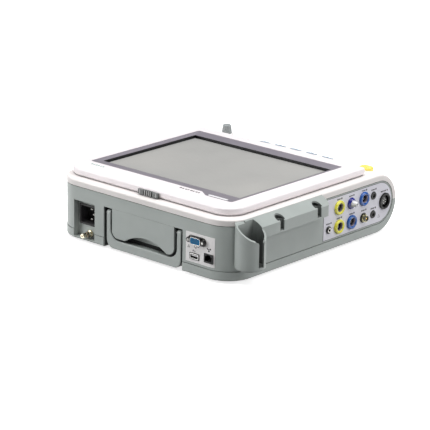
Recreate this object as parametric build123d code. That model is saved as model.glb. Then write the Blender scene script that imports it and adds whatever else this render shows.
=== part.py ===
"""Flat bedside patient monitor with a flip-up display, all lengths in millimetres.

Frame: +Z up, the operator sits at -Y, the carrying handle is at +Y and the patient sockets face -X.
The origin is the centre of the footprint, on the plane that the feet stand on.
"""

from build123d import *
import math
import os

# ---- Body ----
BODY_W = 317.3
BODY_CX = 15.85
LEFT = BODY_CX - BODY_W / 2
RIGHT = BODY_CX + BODY_W / 2
REAR = 174.9
BASE_Z = 4.0
TOP_Z = 86.5
STYLE_Z = 16.4          # parting line between the bottom tray and the wall
BAND_Z = 77.9           # parting line between the wall and the top cover
NOTCH_Z = 46.0          # where tray and top cover meet on the nose
NOSE_R = (TOP_Z - BASE_Z) / 2
NOSE_Z = (TOP_Z + BASE_Z) / 2
NOSE_SIDE_Y = -169.6    # tip of the nose at the side walls
NOSE_BOW = 14.0         # how much further the nose reaches on the centre line
NOSE_MID_Y = NOSE_SIDE_Y - NOSE_BOW
BOW_R = ((BODY_W / 2) ** 2 + NOSE_BOW ** 2) / (2 * NOSE_BOW)
BOW_Y = NOSE_MID_Y + BOW_R
REAR_R = 38.0
WALL = 2.6
STEP = 0.5              # the wall lies this much inside tray and top cover
GROOVE = 0.8            # width and depth of the shadow groove along the parting lines
SOFT_EDGE = 2.5
FAR = 260.0             # a length that is past every outer face
SWEEP = 44.0            # degrees of bow, wider than the body

# ---- Wall outline seen from the side ----
CORE_TIP_Y = -161.8
CORE_R = (BAND_Z - STYLE_Z) / 2
CORE_Z = (BAND_Z + STYLE_Z) / 2

# ---- Display lid ----
LID_X0, LID_X1 = -130.5, 169.5
LID_Y0, LID_Y1 = -117.5, 162.1
LID_Z0, LID_Z1 = 87.0, 97.5
LID_REAR_R, LID_FRONT_R = 28.0, 8.0
LID_WALL = 2.2
LID_NOSE_R = 5.0        # rounding along the top of the lid's hinge edge
SCREEN_X, SCREEN_Y = 26.5, 13.5
WINDOW_W, WINDOW_H = 248.0, 187.0
LIP_Z = 95.5
GLASS_Z = 91.8
FRAME_W, FRAME_H = 264.0, 220.0
FRAME_Z = 97.2
PAN = (-110.0, 163.0, -90.0, 140.0)
PAN_Z = 80.5
WELL_GAP = 3.0
WELL_WALL = 1.8
WELL_Z = 78.8
HINGE_Y, HINGE_Z = -113.0, 91.5
HINGE_R = 4.5
HINGE_X = (-85.0, 124.0)
EAR_W = 8.0
PIN_R = 1.6
RUN = 0.06              # radial clearance of a running fit

# ---- Latch ----
LATCH_X0, LATCH_X1 = -6.5, 28.5
LATCH_Z0, LATCH_Z1 = 87.8, 94.5
LATCH_TRAVEL = 5.0

# ---- Rear face ----
HANDLE_CX = 11.5
HANDLE_W = 134.1
HANDLE_ARM = 7.2
HANDLE_T = 10.0
HANDLE_SINK = 1.5
HANDLE_Z0, HANDLE_Z1 = 4.4, 57.0
HANDLE_BAR = 12.6
HANDLE_INNER_R = 14.0
HANDLE_OUTER_R = 12.0
HANDLE_GAP = 4.05
HANDLE_PIVOT_Z = 52.0
HANDLE_PIN_R = 2.0
POCKET_Z1 = 60.0
POCKET_D = 14.0
LINER = 2.2
FINGER_Z = 20.4         # lower edge of the panel between the arms
ARCH_X, ARCH_HALF, ARCH_H = 6.5, 37.5, 11.3
BAY_X0, BAY_X1 = 99.6, 138.8
BAY_Z0, BAY_Z1 = 6.8, 58.0
BAY_D = 9.0
BAY_DRAFT = 1.0
INLET_W, INLET_H, INLET_Z = 31.0, 28.0, 38.2
INLET_D = 22.0
CAVITY_D = 15.0
STUD_X, STUD_Z = 115.3, 12.8
STUD_TIP_Y = 182.9
PLATE_X0, PLATE_X1 = -114.6, -65.5
PLATE_Z0, PLATE_Z1 = 20.3, 60.5
PLATE_LEDGE = 1.8       # how far the rear plate overlaps the wall round its window
VIDEO_AT = (-85.6, 51.2)
SERIAL_AT = (-80.8, 28.9)
NETWORK_AT = (-105.0, 31.4)

# ---- Left side ----
PANEL_Y1 = -11.5
PANEL_INSET = 3.0
PANEL_LEDGE = 3.5       # how far the socket panel overlaps the wall round its window
RING_R = 9.8
YELLOW = ((-43.5, 59.5), (-44.0, 33.0))
BLUE = ((-71.1, 33.2), (-97.0, 60.1))
CUFF = (-69.5, 59.8)
METAL = (-97.1, 33.2)
JACKS = ((-118.0, 60.0), (-118.1, 33.5))
DIN = (-143.2, 47.0)
MARKER = (-22.0, 33.0)
HOLDER_D = 16.2
HOLDER_Y0 = -5.0
LEDGE_Z_WALL, LEDGE_Z_FRONT, LEDGE_Z_LOW = 86.0, 76.0, 61.0
KEYHOLE_Y = (94.0, 18.5)
KEYHOLE_R, KEYHOLE_SLOT = 7.3, 8.0
CUP_X, CUP_Y = -154.5, 151.0
CUP_R, CUP_T = 20.0, 2.6
CUP_Z0, CUP_Z1, CUP_Z_LOW = 24.5, 84.0, 63.0
CUP_SLOT, CUP_SLOT_Y = 9.2, 151.8
CUP_LIP_R = 3.5

# ---- Controls on the front strip ----
KEY_Y = -150.0
KEY_W, KEY_H = 18.0, 8.0
KEY_X0, KEY_PITCH, KEY_COUNT = 78.5, 28.75, 5
KNOB_X, KNOB_Y = 144.5, -141.5
LAMP_X, LAMP_Y = -110.5, -141.5
LAMP_W, LAMP_L, LAMP_H = 20.0, 16.0, 3.8
LAMP_SINK = 1.6         # how far the dome's skirt reaches down over the start of the nose
LED_X0, LED_PITCH, LED_Y = -54.5, 8.8, -139.5

# ---- Paper drawer ----
DRAWER_W = 167.2
DRAWER_Z0, DRAWER_Z1 = 16.8, 46.0
DRAWER_GAP = 0.6
FRONT_T = 3.0
ROLLER_R, ROLLER_Y, ROLLER_Z = 5.0, -169.5, 39.6
TRAY_W = 158.0
TRAY_Y0, TRAY_Y1 = -164.0, -62.0
TRAY_Z0, TRAY_Z1 = 19.0, 40.0

# ---- Underside ----
BOLT_PITCH, BOLT_R = 100.0, 2.1
FEET = ((-105.0, -105.0), (137.0, -105.0), (-105.0, 138.0), (150.0, 128.0))
FOOT_R = 9.0
SCREWS = ((-120.0, -60.0), (150.0, -60.0), (-120.0, 60.0), (150.0, 60.0), (-75.0, 140.0), (92.0, 140.0))
BATTERY = (-30.0, 70.0, 62.0, 142.0)
CHASSIS_Z = 27.0


def block(x0, x1, y0, y1, z0, z1):
    """Box between two corners."""
    return Pos((x0 + x1) / 2, (y0 + y1) / 2, (z0 + z1) / 2) * Box(abs(x1 - x0), abs(y1 - y0), abs(z1 - z0))


def rod_x(y, z, r, x0, x1):
    """Cylinder along X."""
    return Pos((x0 + x1) / 2, y, z) * Rot(0, 90, 0) * Cylinder(r, abs(x1 - x0))


def rod_y(x, z, r, y0, y1):
    """Cylinder along Y."""
    return Pos(x, (y0 + y1) / 2, z) * Rot(90, 0, 0) * Cylinder(r, abs(y1 - y0))


def rod_z(x, y, r, z0, z1):
    """Cylinder along Z."""
    return Pos(x, y, (z0 + z1) / 2) * Cylinder(r, abs(z1 - z0))


def prism_y(x, z, w, h, r, y0, y1):
    """Rectangle with rounded corners in XZ, as a prism along Y."""
    plane = Plane(origin=(x, y0, z), x_dir=(1, 0, 0), z_dir=(0, 1, 0))
    return extrude(plane * RectangleRounded(w, h, r), y1 - y0)


def prism_z(x0, x1, y0, y1, r, z0, z1):
    """Rectangle with rounded corners in XY, as a prism along Z."""
    return Pos((x0 + x1) / 2, (y0 + y1) / 2, z0) * extrude(RectangleRounded(x1 - x0, y1 - y0, r), z1 - z0)


def turned_x(y, z, points):
    """Solid turned about an axis along X. The points are (x, radius) pairs, and the outline closes itself."""
    outline = Polyline(*[(x, z + r, 0) for x, r in points], close=True)
    plane = Plane(origin=(0, y, 0), x_dir=(1, 0, 0), z_dir=(0, -1, 0))
    return revolve(plane * make_face(outline), axis=Axis((0, y, z), (1, 0, 0)))


# ---- Case ----

def body_plan(inset):
    """Plan outline: square at the front, where the nose form cuts it, and rounded at the rear."""
    x0, x1, y1, r = LEFT + inset, RIGHT - inset, REAR - inset, REAR_R - inset
    outline = FilletPolyline(
        (x0, -FAR), (x0, y1), (x1, y1), (x1, -FAR), radius=r)
    return make_face(outline + Line((x1, -FAR), (x0, -FAR)))


def body_form(inset):
    """The whole body as one block, shrunk all round. The nose is a full round that is bowed in plan."""
    r = NOSE_R - inset
    y_arc = NOSE_MID_Y + NOSE_R
    side = Plane(origin=(BODY_CX, 0, 0), x_dir=(0, 1, 0), z_dir=(1, 0, 0))
    outline = Line((FAR, NOSE_Z - r), (y_arc, NOSE_Z - r))
    outline += ThreePointArc((y_arc, NOSE_Z - r), (y_arc - r, NOSE_Z), (y_arc, NOSE_Z + r))
    outline += Polyline((y_arc, NOSE_Z + r), (FAR, NOSE_Z + r), (FAR, NOSE_Z - r))
    axis = Axis((BODY_CX, BOW_Y, 0), (0, 0, 1))
    face = (side * make_face(outline)).rotate(axis, -SWEEP / 2)
    bowed = revolve(face, axis=axis, revolution_arc=SWEEP)
    return bowed & Pos(0, 0, -FAR / 2) * extrude(body_plan(inset), FAR)


def core_face(inset):
    """Side view of the wall between the two parting lines, with its round nose."""
    r = CORE_R - inset
    y_arc = CORE_TIP_Y + CORE_R
    outline = Line((FAR, CORE_Z - r), (y_arc, CORE_Z - r))
    outline += ThreePointArc((y_arc, CORE_Z - r), (y_arc - r, CORE_Z), (y_arc, CORE_Z + r))
    outline += Polyline((y_arc, CORE_Z + r), (FAR, CORE_Z + r), (FAR, CORE_Z - r))
    return make_face(outline)


def core_form(inset, x0, x1):
    """The side view of the wall as a prism along X."""
    side = Plane(origin=(x0, 0, 0), x_dir=(0, 1, 0), z_dir=(1, 0, 0))
    return extrude(side * core_face(inset), x1 - x0)


def pocket_form(grow):
    """Space that the folded handle lies in, open to the rear and below."""
    half = HANDLE_W / 2 + HANDLE_GAP + grow
    return block(HANDLE_CX - half, HANDLE_CX + half, REAR - POCKET_D - grow, REAR + 1,
                 BASE_Z - 1, POCKET_Z1 + grow)


def bay_form(grow):
    """Recess round the mains inlet, open to the rear, with a little draft on its cheeks."""
    y_back = REAR - BAY_D - grow
    x0, x1 = BAY_X0 - grow, BAY_X1 + grow
    outline = Polyline((x0, REAR + 1), (x0, REAR), (x0 + BAY_DRAFT, y_back), (x1 - BAY_DRAFT, y_back),
                       (x1, REAR), (x1, REAR + 1), close=True)
    return Pos(0, 0, BAY_Z0 - grow) * extrude(make_face(outline), BAY_Z1 - BAY_Z0 + 2 * grow)


def case_parts():
    """Bottom tray, wall and top cover, cut from one hollow body along the parting lines."""
    outer = body_form(0)
    outer = fillet(outer.edges(), SOFT_EDGE)
    inner = body_form(WALL)
    liners = (pocket_form(LINER) + bay_form(LINER)) & body_form(STEP)
    hollows = pocket_form(0) + bay_form(0)
    shell = outer - inner
    band = shell - core_form(0, LEFT - 5, RIGHT + 5)
    low = block(-FAR, FAR, -FAR, FAR, 0, NOTCH_Z)
    tray_slab = block(-FAR, FAR, -FAR, FAR, BASE_Z, STYLE_Z)
    tray = (band & low) + (liners & tray_slab) - hollows
    cover = band - low
    wall_zone = core_form(0, LEFT - 5, RIGHT + 5)
    wall = ((body_form(STEP) - inner) & wall_zone) + (liners & wall_zone) - hollows
    skin = body_form(STEP) - body_form(STEP + GROOVE)
    wall -= skin & (wall_zone - core_form(GROOVE, LEFT - 5, RIGHT + 5))
    return tray, wall, cover


def bottom_case(tray):
    """Tray with the battery opening, trolley bolt holes, screw posts, vents and the drawer opening."""
    for dx in (-1, 1):
        for dy in (-1, 1):
            x, y = BODY_CX + dx * BOLT_PITCH / 2, dy * BOLT_PITCH / 2
            tray += rod_z(x, y, BOLT_R + 3, BASE_Z + WALL - 0.5, BASE_Z + 10)
            tray -= rod_z(x, y, BOLT_R, BASE_Z - 1, BASE_Z + 12)
    for x, y in SCREWS:
        tray += rod_z(x, y, 4.5, BASE_Z + 0.5, STYLE_Z)
        tray -= rod_z(x, y, 3.4, BASE_Z - 1, BASE_Z + 2.6)
        tray -= rod_z(x, y, 1.5, BASE_Z, STYLE_Z + 1)
    x0, x1, y0, y1 = BATTERY
    tray -= block(x0 - 1, x1 + 1, y0 - 1, y1 + 1, BASE_Z - 1, BASE_Z + WALL + 1)
    for i in range(9):
        x = 95 + 7.0 * i
        tray -= prism_z(x, x + 3, -45, -5, 1.49, BASE_Z - 1, BASE_Z + WALL + 1)
    return tray - drawer_opening()


def drawer_opening():
    """Hole in the nose that the paper drawer slides through."""
    half = DRAWER_W / 2
    return block(BODY_CX - half, BODY_CX + half, -FAR, -135, DRAWER_Z0, DRAWER_Z1)


def side_panel_form(grow, x0, x1):
    """Outline of the socket panel as a prism along X."""
    keep = block(x0, x1, -FAR, PANEL_Y1 + grow, 0, TOP_Z)
    return core_form(PANEL_INSET - grow, x0, x1) & keep


def socket_list():
    """Each socket's place on the panel, with the radius of its hole."""
    rings = [(y, z, RING_R - 2.0) for y, z in YELLOW + BLUE]
    others = [(*CUFF, 6.4), (*METAL, 4.8), (*DIN, 10.4), (*MARKER, 4.0)]
    return rings + others + [(y, z, 4.4) for y, z in JACKS]


def mid_case(wall):
    """Wall with the windows behind the two connector plates, the inlet hole and the speaker grille."""
    wall -= side_panel_form(0, LEFT - 2, LEFT + 1.5)
    wall -= side_panel_form(-PANEL_LEDGE, LEFT, LEFT + WALL + 1)
    wall -= plate_form(0)
    wall -= plate_block(-PLATE_LEDGE)
    wall -= prism_y(bay_centre(), INLET_Z, INLET_W - 2.2, INLET_H - 2.2, 2, REAR - BAY_D - LINER - 1, REAR)
    for ring, count in ((0, 1), (7, 6), (14, 12), (20, 18)):
        for k in range(count):
            a = 2 * math.pi * k / count
            wall -= rod_x(-40 + ring * math.cos(a), 46 + ring * math.sin(a), 1.5, RIGHT - 5, RIGHT + 1)
    for x in (HANDLE_CX - HANDLE_W / 2 - HANDLE_GAP, HANDLE_CX + HANDLE_W / 2 + HANDLE_GAP):
        wall -= rod_x(handle_axis_y(), HANDLE_PIVOT_Z, HANDLE_PIN_R, x - 1.8, x + 1.8)
    return wall


def top_case(cover):
    """Top cover with the well under the display, hinge ears, control holes and the latch slot."""
    x0, x1, y0, y1 = PAN
    g, w = WELL_GAP, WELL_WALL
    cover += prism_z(x0 - g - w, x1 + g + w, y0 - g - w, y1 + g + w, 6, WELL_Z - w, TOP_Z - 1) & body_form(0.5)
    cover -= prism_z(x0 - g, x1 + g, y0 - g, y1 + g, 4.5, WELL_Z, TOP_Z + 1)
    for x in HINGE_X:
        ear = block(x - EAR_W / 2, x + EAR_W / 2, HINGE_Y - 3.6, HINGE_Y + 3.6, TOP_Z - 1, HINGE_Z)
        ear += rod_x(HINGE_Y, HINGE_Z, 3.6, x - EAR_W / 2, x + EAR_W / 2)
        cover += ear
        cover -= rod_x(HINGE_Y, HINGE_Z, PIN_R + RUN, x - EAR_W, x + EAR_W)
    for x in key_places():
        cover -= key_prism(x, 0.4, 70, TOP_Z + 2)
    for x in led_places():
        cover -= prism_z(x - 2.4, x + 2.4, LED_Y - 1.2, LED_Y + 1.2, 1.1, 76, TOP_Z + 2)
    cover -= rod_z(KNOB_X, KNOB_Y, 4.2, 76, TOP_Z + 2)
    cover -= prism_z(LAMP_X - 6, LAMP_X + 6, LAMP_Y - 5.5, LAMP_Y + 5.5, 4, 76, TOP_Z + 2)
    cover -= prism_z(tongue_x() - 7, tongue_x() + 7 + LATCH_TRAVEL, 154.0, 160.5, 1.5, 79, TOP_Z + 2)
    return cover


# ---- Underside pieces ----

def battery_cover():
    """Flush door over the battery, held by two screws of its own."""
    x0, x1, y0, y1 = BATTERY
    plate = prism_z(x0 - 0.8, x1 + 0.8, y0 - 0.8, y1 + 0.8, 2, BASE_Z + 0.1, BASE_Z + 2.3)
    grip = prism_z((x0 + x1) / 2 - 12, (x0 + x1) / 2 + 12, y0 + 4, y0 + 12, 3.9, BASE_Z, BASE_Z + 1.2)
    return plate - grip


def rubber_feet():
    """Four round feet."""
    return [fillet(rod_z(x, y, FOOT_R, 0, BASE_Z).edges().group_by(Axis.Z)[0], 0.8) for x, y in FEET]


def case_screws():
    """Six cap screws that hold the tray to the wall."""
    screws = []
    for x, y in SCREWS:
        screw = rod_z(x, y, 3.2, BASE_Z + 0.4, BASE_Z + 2.6) + rod_z(x, y, 1.5, BASE_Z + 2.5, STYLE_Z - 1)
        recess = Pos(x, y, BASE_Z + 0.3) * extrude(RegularPolygon(1.5, 6), 1.4)
        screws.append(screw - recess)
    return screws


# ---- Rear pieces ----

def bay_centre():
    """Middle of the mains bay."""
    return (BAY_X0 + BAY_X1) / 2


def mains_inlet():
    """Three-pole inlet: flange, body with its deep cavity, and three blades standing in it."""
    x, y = bay_centre(), REAR - BAY_D
    inlet = prism_y(x, INLET_Z, INLET_W, INLET_H, 2, y, y + 1.6)
    inlet += prism_y(x, INLET_Z, INLET_W - 2.4, INLET_H - 2.4, 2, y - INLET_D, y + 0.1)
    inlet -= prism_y(x, INLET_Z, INLET_W - 4.4, INLET_H - 4.4, 2, y - CAVITY_D, y + 3)
    for dx, dz in ((-5, 0), (-1, 7), (-1, -7)):
        inlet += block(x + dx - 2, x + dx + 2, y - CAVITY_D - 1, y - 5, INLET_Z + dz - 1, INLET_Z + dz + 1)
    return inlet


def equipotential_stud():
    """Earthing stud with its base, hexagonal collar and drilled contact tip, under the inlet."""
    y = REAR - BAY_D
    stud = rod_y(STUD_X, STUD_Z, 4.6, y, y + 2.2)
    stud += Pos(STUD_X, y + 2, STUD_Z) * Rot(-90, 0, 0) * extrude(RegularPolygon(4.2, 6), 4.6)
    stud += rod_y(STUD_X, STUD_Z, 2.3, y + 6, STUD_TIP_Y - 6.4)
    stud += rod_y(STUD_X, STUD_Z, 3.2, STUD_TIP_Y - 6.5, STUD_TIP_Y)
    stud = fillet(stud.edges().group_by(Axis.Y)[-1], 0.8)
    return stud - rod_y(STUD_X, STUD_Z, 1.2, STUD_TIP_Y - 4, STUD_TIP_Y + 1)


def plate_form(grow):
    """Rear connector plate, which follows the rounded corner."""
    skin = body_form(STEP - 0.2) - body_form(STEP + 1.0)
    return skin & plate_block(grow)


def plate_block(grow):
    """Upright block with the rear plate's outline."""
    return block(PLATE_X0 - grow, PLATE_X1 + grow, 150, REAR + 1, PLATE_Z0 - grow, PLATE_Z1 + grow)


def port_holes():
    """Holes for the video, serial and network sockets."""
    holes = prism_y(*VIDEO_AT, 19.0, 10.6, 2, REAR - 8, REAR + 1)
    holes += prism_y(*SERIAL_AT, 14.6, 7.4, 0.8, REAR - 8, REAR + 1)
    return holes + prism_y(*NETWORK_AT, 15.0, 12.2, 0.8, REAR - 8, REAR + 1)


def vga_port():
    """Fifteen-pole video socket with its two hexagonal nuts."""
    x, z = VIDEO_AT
    port = prism_y(x, z, 30.6, 11.2, 5.4, REAR - 0.3, REAR + 0.5)
    port += prism_y(x, z, 18.8, 10.4, 2, REAR - 10, REAR - 0.2)
    port += prism_y(x, z, 17.0, 8.6, 2.4, REAR, REAR + 4.5)
    for nut_x in (x - 12.3, x + 12.3):
        port += Pos(nut_x, REAR + 0.4, z) * Rot(-90, 0, 0) * extrude(RegularPolygon(2.7, 6), 4)
    return port


def usb_port():
    """Host socket: a metal sleeve with its tongue."""
    x, z = SERIAL_AT
    port = prism_y(x, z, 14.4, 7.2, 0.7, REAR - 14, REAR + 0.3)
    port -= prism_y(x, z, 12.6, 5.4, 0.4, REAR - 12, REAR + 1)
    return port + block(x - 5.6, x + 5.6, REAR - 13, REAR - 1, z - 0.2, z + 1.6)


def network_port():
    """Eight-pole network socket."""
    x, z = NETWORK_AT
    port = prism_y(x, z, 14.8, 12.0, 0.7, REAR - 16, REAR + 0.3)
    port -= block(x - 6, x + 6, REAR - 13, REAR + 1, z - 4, z + 3)
    return port - block(x - 3.2, x + 3.2, REAR - 13, REAR + 1, z + 2.6, z + 4.8)


def handle_panel():
    """Hollow block between the handle's arms, level with the rear face, with a finger arch below."""
    half = HANDLE_W / 2 - HANDLE_ARM - HANDLE_GAP
    x0, x1 = HANDLE_CX - half, HANDLE_CX + half
    z0, z1 = FINGER_Z, POCKET_Z1 - 0.15
    y0, y1 = REAR - POCKET_D, REAR - STEP
    panel = block(x0, x1, y0, y1, z0, z1)
    corners = panel.edges().filter_by(Axis.Y).group_by(Axis.Z)[0]
    panel = fillet(corners, HANDLE_INNER_R - HANDLE_GAP)
    panel -= block(x0 + 2.4, x1 - 2.4, y0 - 1, y1 - 2.6, z0 + 14, z1 - 2.4)
    arch_r = (ARCH_HALF ** 2 + ARCH_H ** 2) / (2 * ARCH_H)
    return panel - rod_y(ARCH_X, z0 + ARCH_H - arch_r, arch_r, y0 - 1, y1 + 1)


def handle_axis_y():
    """Depth of the handle's pivot axis."""
    return REAR - HANDLE_SINK - HANDLE_T / 2


def carry_handle():
    """U-shaped handle that hangs from two pivots."""
    y0 = handle_axis_y() - HANDLE_T / 2
    h = HANDLE_Z1 - HANDLE_Z0
    bar = block(HANDLE_CX - HANDLE_W / 2, HANDLE_CX + HANDLE_W / 2, y0, y0 + HANDLE_T, HANDLE_Z0, HANDLE_Z1)
    bar = fillet(bar.edges().filter_by(Axis.Y).group_by(Axis.Z)[0], HANDLE_OUTER_R)
    inside = block(HANDLE_CX - HANDLE_W / 2 + HANDLE_ARM, HANDLE_CX + HANDLE_W / 2 - HANDLE_ARM,
                   y0 - 1, y0 + HANDLE_T + 1, HANDLE_Z0 + HANDLE_BAR, HANDLE_Z1 + h)
    inside = fillet(inside.edges().filter_by(Axis.Y).group_by(Axis.Z)[0], HANDLE_INNER_R)
    bar -= inside
    tops = bar.edges().filter_by(Axis.X).group_by(Axis.Z)[-1]
    bar = fillet(tops, HANDLE_T / 2 - 0.2)
    rim = bar.faces().sort_by(Axis.Y)[-1].outer_wire().edges()
    bar = fillet(rim, 1.2)
    return bar - rod_x(handle_axis_y(), HANDLE_PIVOT_Z, HANDLE_PIN_R + RUN, -FAR, FAR)


def handle_pins():
    """Two steel pivots, fixed in the sides of the handle pocket."""
    pins = []
    for side in (-1, 1):
        x_out = HANDLE_CX + side * (HANDLE_W / 2 + HANDLE_GAP + 1.7)
        x_in = HANDLE_CX + side * (HANDLE_W / 2 - HANDLE_ARM - HANDLE_GAP)
        pins.append(rod_x(handle_axis_y(), HANDLE_PIVOT_Z, HANDLE_PIN_R, min(x_in, x_out), max(x_in, x_out)))
    return pins


# ---- Left side pieces ----

def socket_plate():
    """Thin panel that carries the patient sockets."""
    plate = side_panel_form(-0.1, LEFT + STEP - 0.2, LEFT + 1.5)
    for y, z, r in socket_list():
        plate -= rod_x(y, z, r, LEFT - 2, LEFT + 6)
    return plate


def ring_socket(place):
    """Coloured receptacle with a rounded collar and a deep bore."""
    x = LEFT + STEP - 0.2
    socket = turned_x(*place, (
        (x - 1.6, RING_R), (x, RING_R), (x, RING_R - 2), (x + 14, RING_R - 2), (x + 14, 0),
        (x + 11, 0), (x + 11, 5.2), (x - 1.0, 5.2), (x - 3.0, 6.4), (x - 3.4, 7.8), (x - 3.0, 9.1)))
    return socket


def cuff_socket():
    """Domed base of the cuff hose connector, bored for its nozzle."""
    x = LEFT + STEP - 0.2
    return turned_x(*CUFF, (
        (x, 8.0), (x, 6.4), (x + 12, 6.4), (x + 12, 2.6), (x - 3.6, 2.6), (x - 3.6, 4.9), (x - 2.6, 6.8), (x - 1.2, 7.8)))


def cuff_nozzle():
    """Clear nozzle with a barbed tip and a through bore."""
    x = LEFT + STEP - 0.2
    return turned_x(*CUFF, (
        (x + 11, 2.6), (x - 3.6, 2.6), (x - 3.6, 4.4), (x - 5.8, 4.2), (x - 6.2, 3.0), (x - 7.4, 3.0),
        (x - 7.8, 3.8), (x - 10.8, 3.1), (x - 10.8, 1.6), (x + 11, 1.6)))


def metal_socket():
    """Turned metal receptacle with a nut and a pin."""
    x = LEFT + STEP - 0.2
    socket = turned_x(*METAL, (
        (x, 6.0), (x, 4.8), (x + 13, 4.8), (x + 13, 0), (x - 4.5, 0), (x - 4.5, 1.0), (x + 4, 1.0), (x + 4, 3.2),
        (x - 6.5, 3.2), (x - 6.5, 4.0), (x - 1.6, 4.2), (x - 1.6, 6.0)))
    return socket


def temperature_jacks():
    """Two black probe jacks."""
    x = LEFT + STEP - 0.2
    return [turned_x(*place, (
        (x, 5.7), (x, 4.4), (x + 15, 4.4), (x + 15, 0), (x + 13, 0), (x + 13, 2.4), (x - 0.6, 2.4), (x - 1.2, 3.0),
        (x - 1.2, 5.2))) for place in JACKS]


def ecg_socket():
    """Large round black receptacle with seven contacts on its core."""
    x = LEFT + STEP - 0.2
    socket = turned_x(*DIN, (
        (x, 11.6), (x, 10.4), (x + 14, 10.4), (x + 14, 0), (x + 1.5, 0), (x + 1.5, 6.0), (x + 8, 6.0), (x + 8, 8.4),
        (x - 1.6, 8.4), (x - 2.4, 9.2), (x - 2.4, 10.7), (x - 1.6, 11.6)))
    return socket


def marker_jack():
    """Small black jack with a metal lip."""
    x = LEFT + STEP - 0.2
    return turned_x(*MARKER, (
        (x, 5.2), (x, 4.0), (x + 14, 4.0), (x + 14, 0), (x + 12, 0), (x + 12, 2.1), (x - 1.5, 2.1), (x - 1.5, 4.8)))


def probe_holder():
    """Side rack: a ledge with two keyhole pockets for probe cables and a slotted cup at the rear."""
    x_wall, x_front = LEFT, LEFT - HOLDER_D
    section = Plane(origin=(0, HOLDER_Y0, 0), x_dir=(1, 0, 0), z_dir=(0, -1, 0))
    outline = Polyline((x_wall, LEDGE_Z_LOW), (x_front, LEDGE_Z_LOW), (x_front, LEDGE_Z_FRONT),
                       (x_wall, LEDGE_Z_WALL), close=True)
    length = CUP_Y - HOLDER_Y0
    ledge = extrude(section * make_face(outline), -length)
    corner = ledge.edges().filter_by(Axis.Z).group_by(Axis.Y)[0].group_by(Axis.X)[0]
    ledge = fillet(corner, 7.0)
    hollow = Polyline((x_wall + 1, LEDGE_Z_LOW - 1), (x_front + 2.4, LEDGE_Z_LOW - 1),
                      (x_front + 2.4, LEDGE_Z_FRONT - 1.2), (x_wall - 2.4, LEDGE_Z_WALL - 4.2),
                      (x_wall - 2.4, LEDGE_Z_LOW + 4), (x_wall + 1, LEDGE_Z_LOW + 4), close=True)
    inside = Plane(origin=(0, HOLDER_Y0 + 6, 0), x_dir=(1, 0, 0), z_dir=(0, -1, 0))
    ledge -= extrude(inside * make_face(hollow), -(length - CUP_R - 8))
    zone = block(x_front, x_wall, HOLDER_Y0, CUP_Y, LEDGE_Z_LOW, LEDGE_Z_FRONT)
    for y in KEYHOLE_Y:
        x = x_front + 4.6
        well = rod_z(x, y, KEYHOLE_R + 2.2, LEDGE_Z_LOW, LEDGE_Z_FRONT + 1)
        well += block(x_front, x, y - KEYHOLE_SLOT / 2 - 2.2, y + KEYHOLE_SLOT / 2 + 2.2, LEDGE_Z_LOW, LEDGE_Z_FRONT)
        ledge += well & zone
    for y in KEYHOLE_Y:
        x = x_front + 4.6
        bore = rod_z(x, y, KEYHOLE_R, LEDGE_Z_LOW + 2, LEDGE_Z_WALL + 2)
        bore &= block(x_front + 1.6, x_wall, y - 20, y + 20, 0, FAR)
        slot = block(x_front - 1, x, y - KEYHOLE_SLOT / 2, y + KEYHOLE_SLOT / 2, LEDGE_Z_LOW + 2, LEDGE_Z_WALL + 2)
        ledge -= bore + slot
    cup = rod_z(CUP_X, CUP_Y, CUP_R, CUP_Z0, CUP_Z1)
    cup = fillet(cup.edges().group_by(Axis.Z)[0], 3.0)
    cup += block(CUP_X, LEFT + 12, CUP_Y - 8, CUP_Y + 6, CUP_Z0 + 6, CUP_Z1)
    tilt = math.degrees(math.atan2(CUP_Z1 - CUP_Z_LOW, LEFT - (CUP_X - CUP_R)))
    lid = Pos(LEFT, CUP_Y, CUP_Z1) * Rot(0, -tilt, 0) * Pos(0, 0, 50) * Box(200, 90, 100)
    holder = (cup - lid) + ledge
    bore = rod_z(CUP_X, CUP_Y, CUP_R - CUP_T, CUP_Z0 + 3.5, CUP_Z1 + 10)
    holder -= bore & block(CUP_X - CUP_R, LEFT - 2.2, CUP_Y - 30, CUP_Y + 30, 0, FAR)
    return holder - cup_slot() - body_form(0)


def cup_slot():
    """Upright slot in the cup's front wall, with its two upper corners rounded over onto the rim."""
    x0, y0, y1 = CUP_X - CUP_R - 2, CUP_SLOT_Y - CUP_SLOT / 2, CUP_SLOT_Y + CUP_SLOT / 2
    rim_z = CUP_Z_LOW + 1.4
    corners = block(x0, CUP_X, y0 - CUP_LIP_R, y1 + CUP_LIP_R, rim_z - CUP_LIP_R, rim_z + 2)
    for y in (y0 - CUP_LIP_R, y1 + CUP_LIP_R):
        corners -= rod_x(y, rim_z - CUP_LIP_R, CUP_LIP_R, x0 - 1, CUP_X + 1)
    return corners + block(x0, CUP_X, y0, y1, CUP_Z0 + 5, FAR)


# ---- Controls ----

def key_places():
    """Middle of each key along the strip."""
    return [KEY_X0 - KEY_PITCH * i for i in range(KEY_COUNT)]


def led_places():
    """Middle of each indicator."""
    return [LED_X0 - LED_PITCH * i for i in range(3)]


def key_prism(x, grow, z0, z1):
    """Upright prism with a key's rounded outline."""
    w, h = KEY_W / 2 + grow, KEY_H / 2 + grow
    return prism_z(x - w, x + w, KEY_Y - h, KEY_Y + h, h - 0.3, z0, z1)


def key_cap(x):
    """Key whose top follows the strip and stands a little proud of it."""
    return (key_prism(x, 0, 77.5, TOP_Z + 2) & body_form(-0.9)) - block(x - 7, x + 7, KEY_Y - 2, KEY_Y + 2, 77, 81)


def indicator_lenses():
    """Three small light pipes."""
    return [prism_z(x - 2.3, x + 2.3, LED_Y - 1.1, LED_Y + 1.1, 1.0, 80, TOP_Z + 0.7) for x in led_places()]


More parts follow.
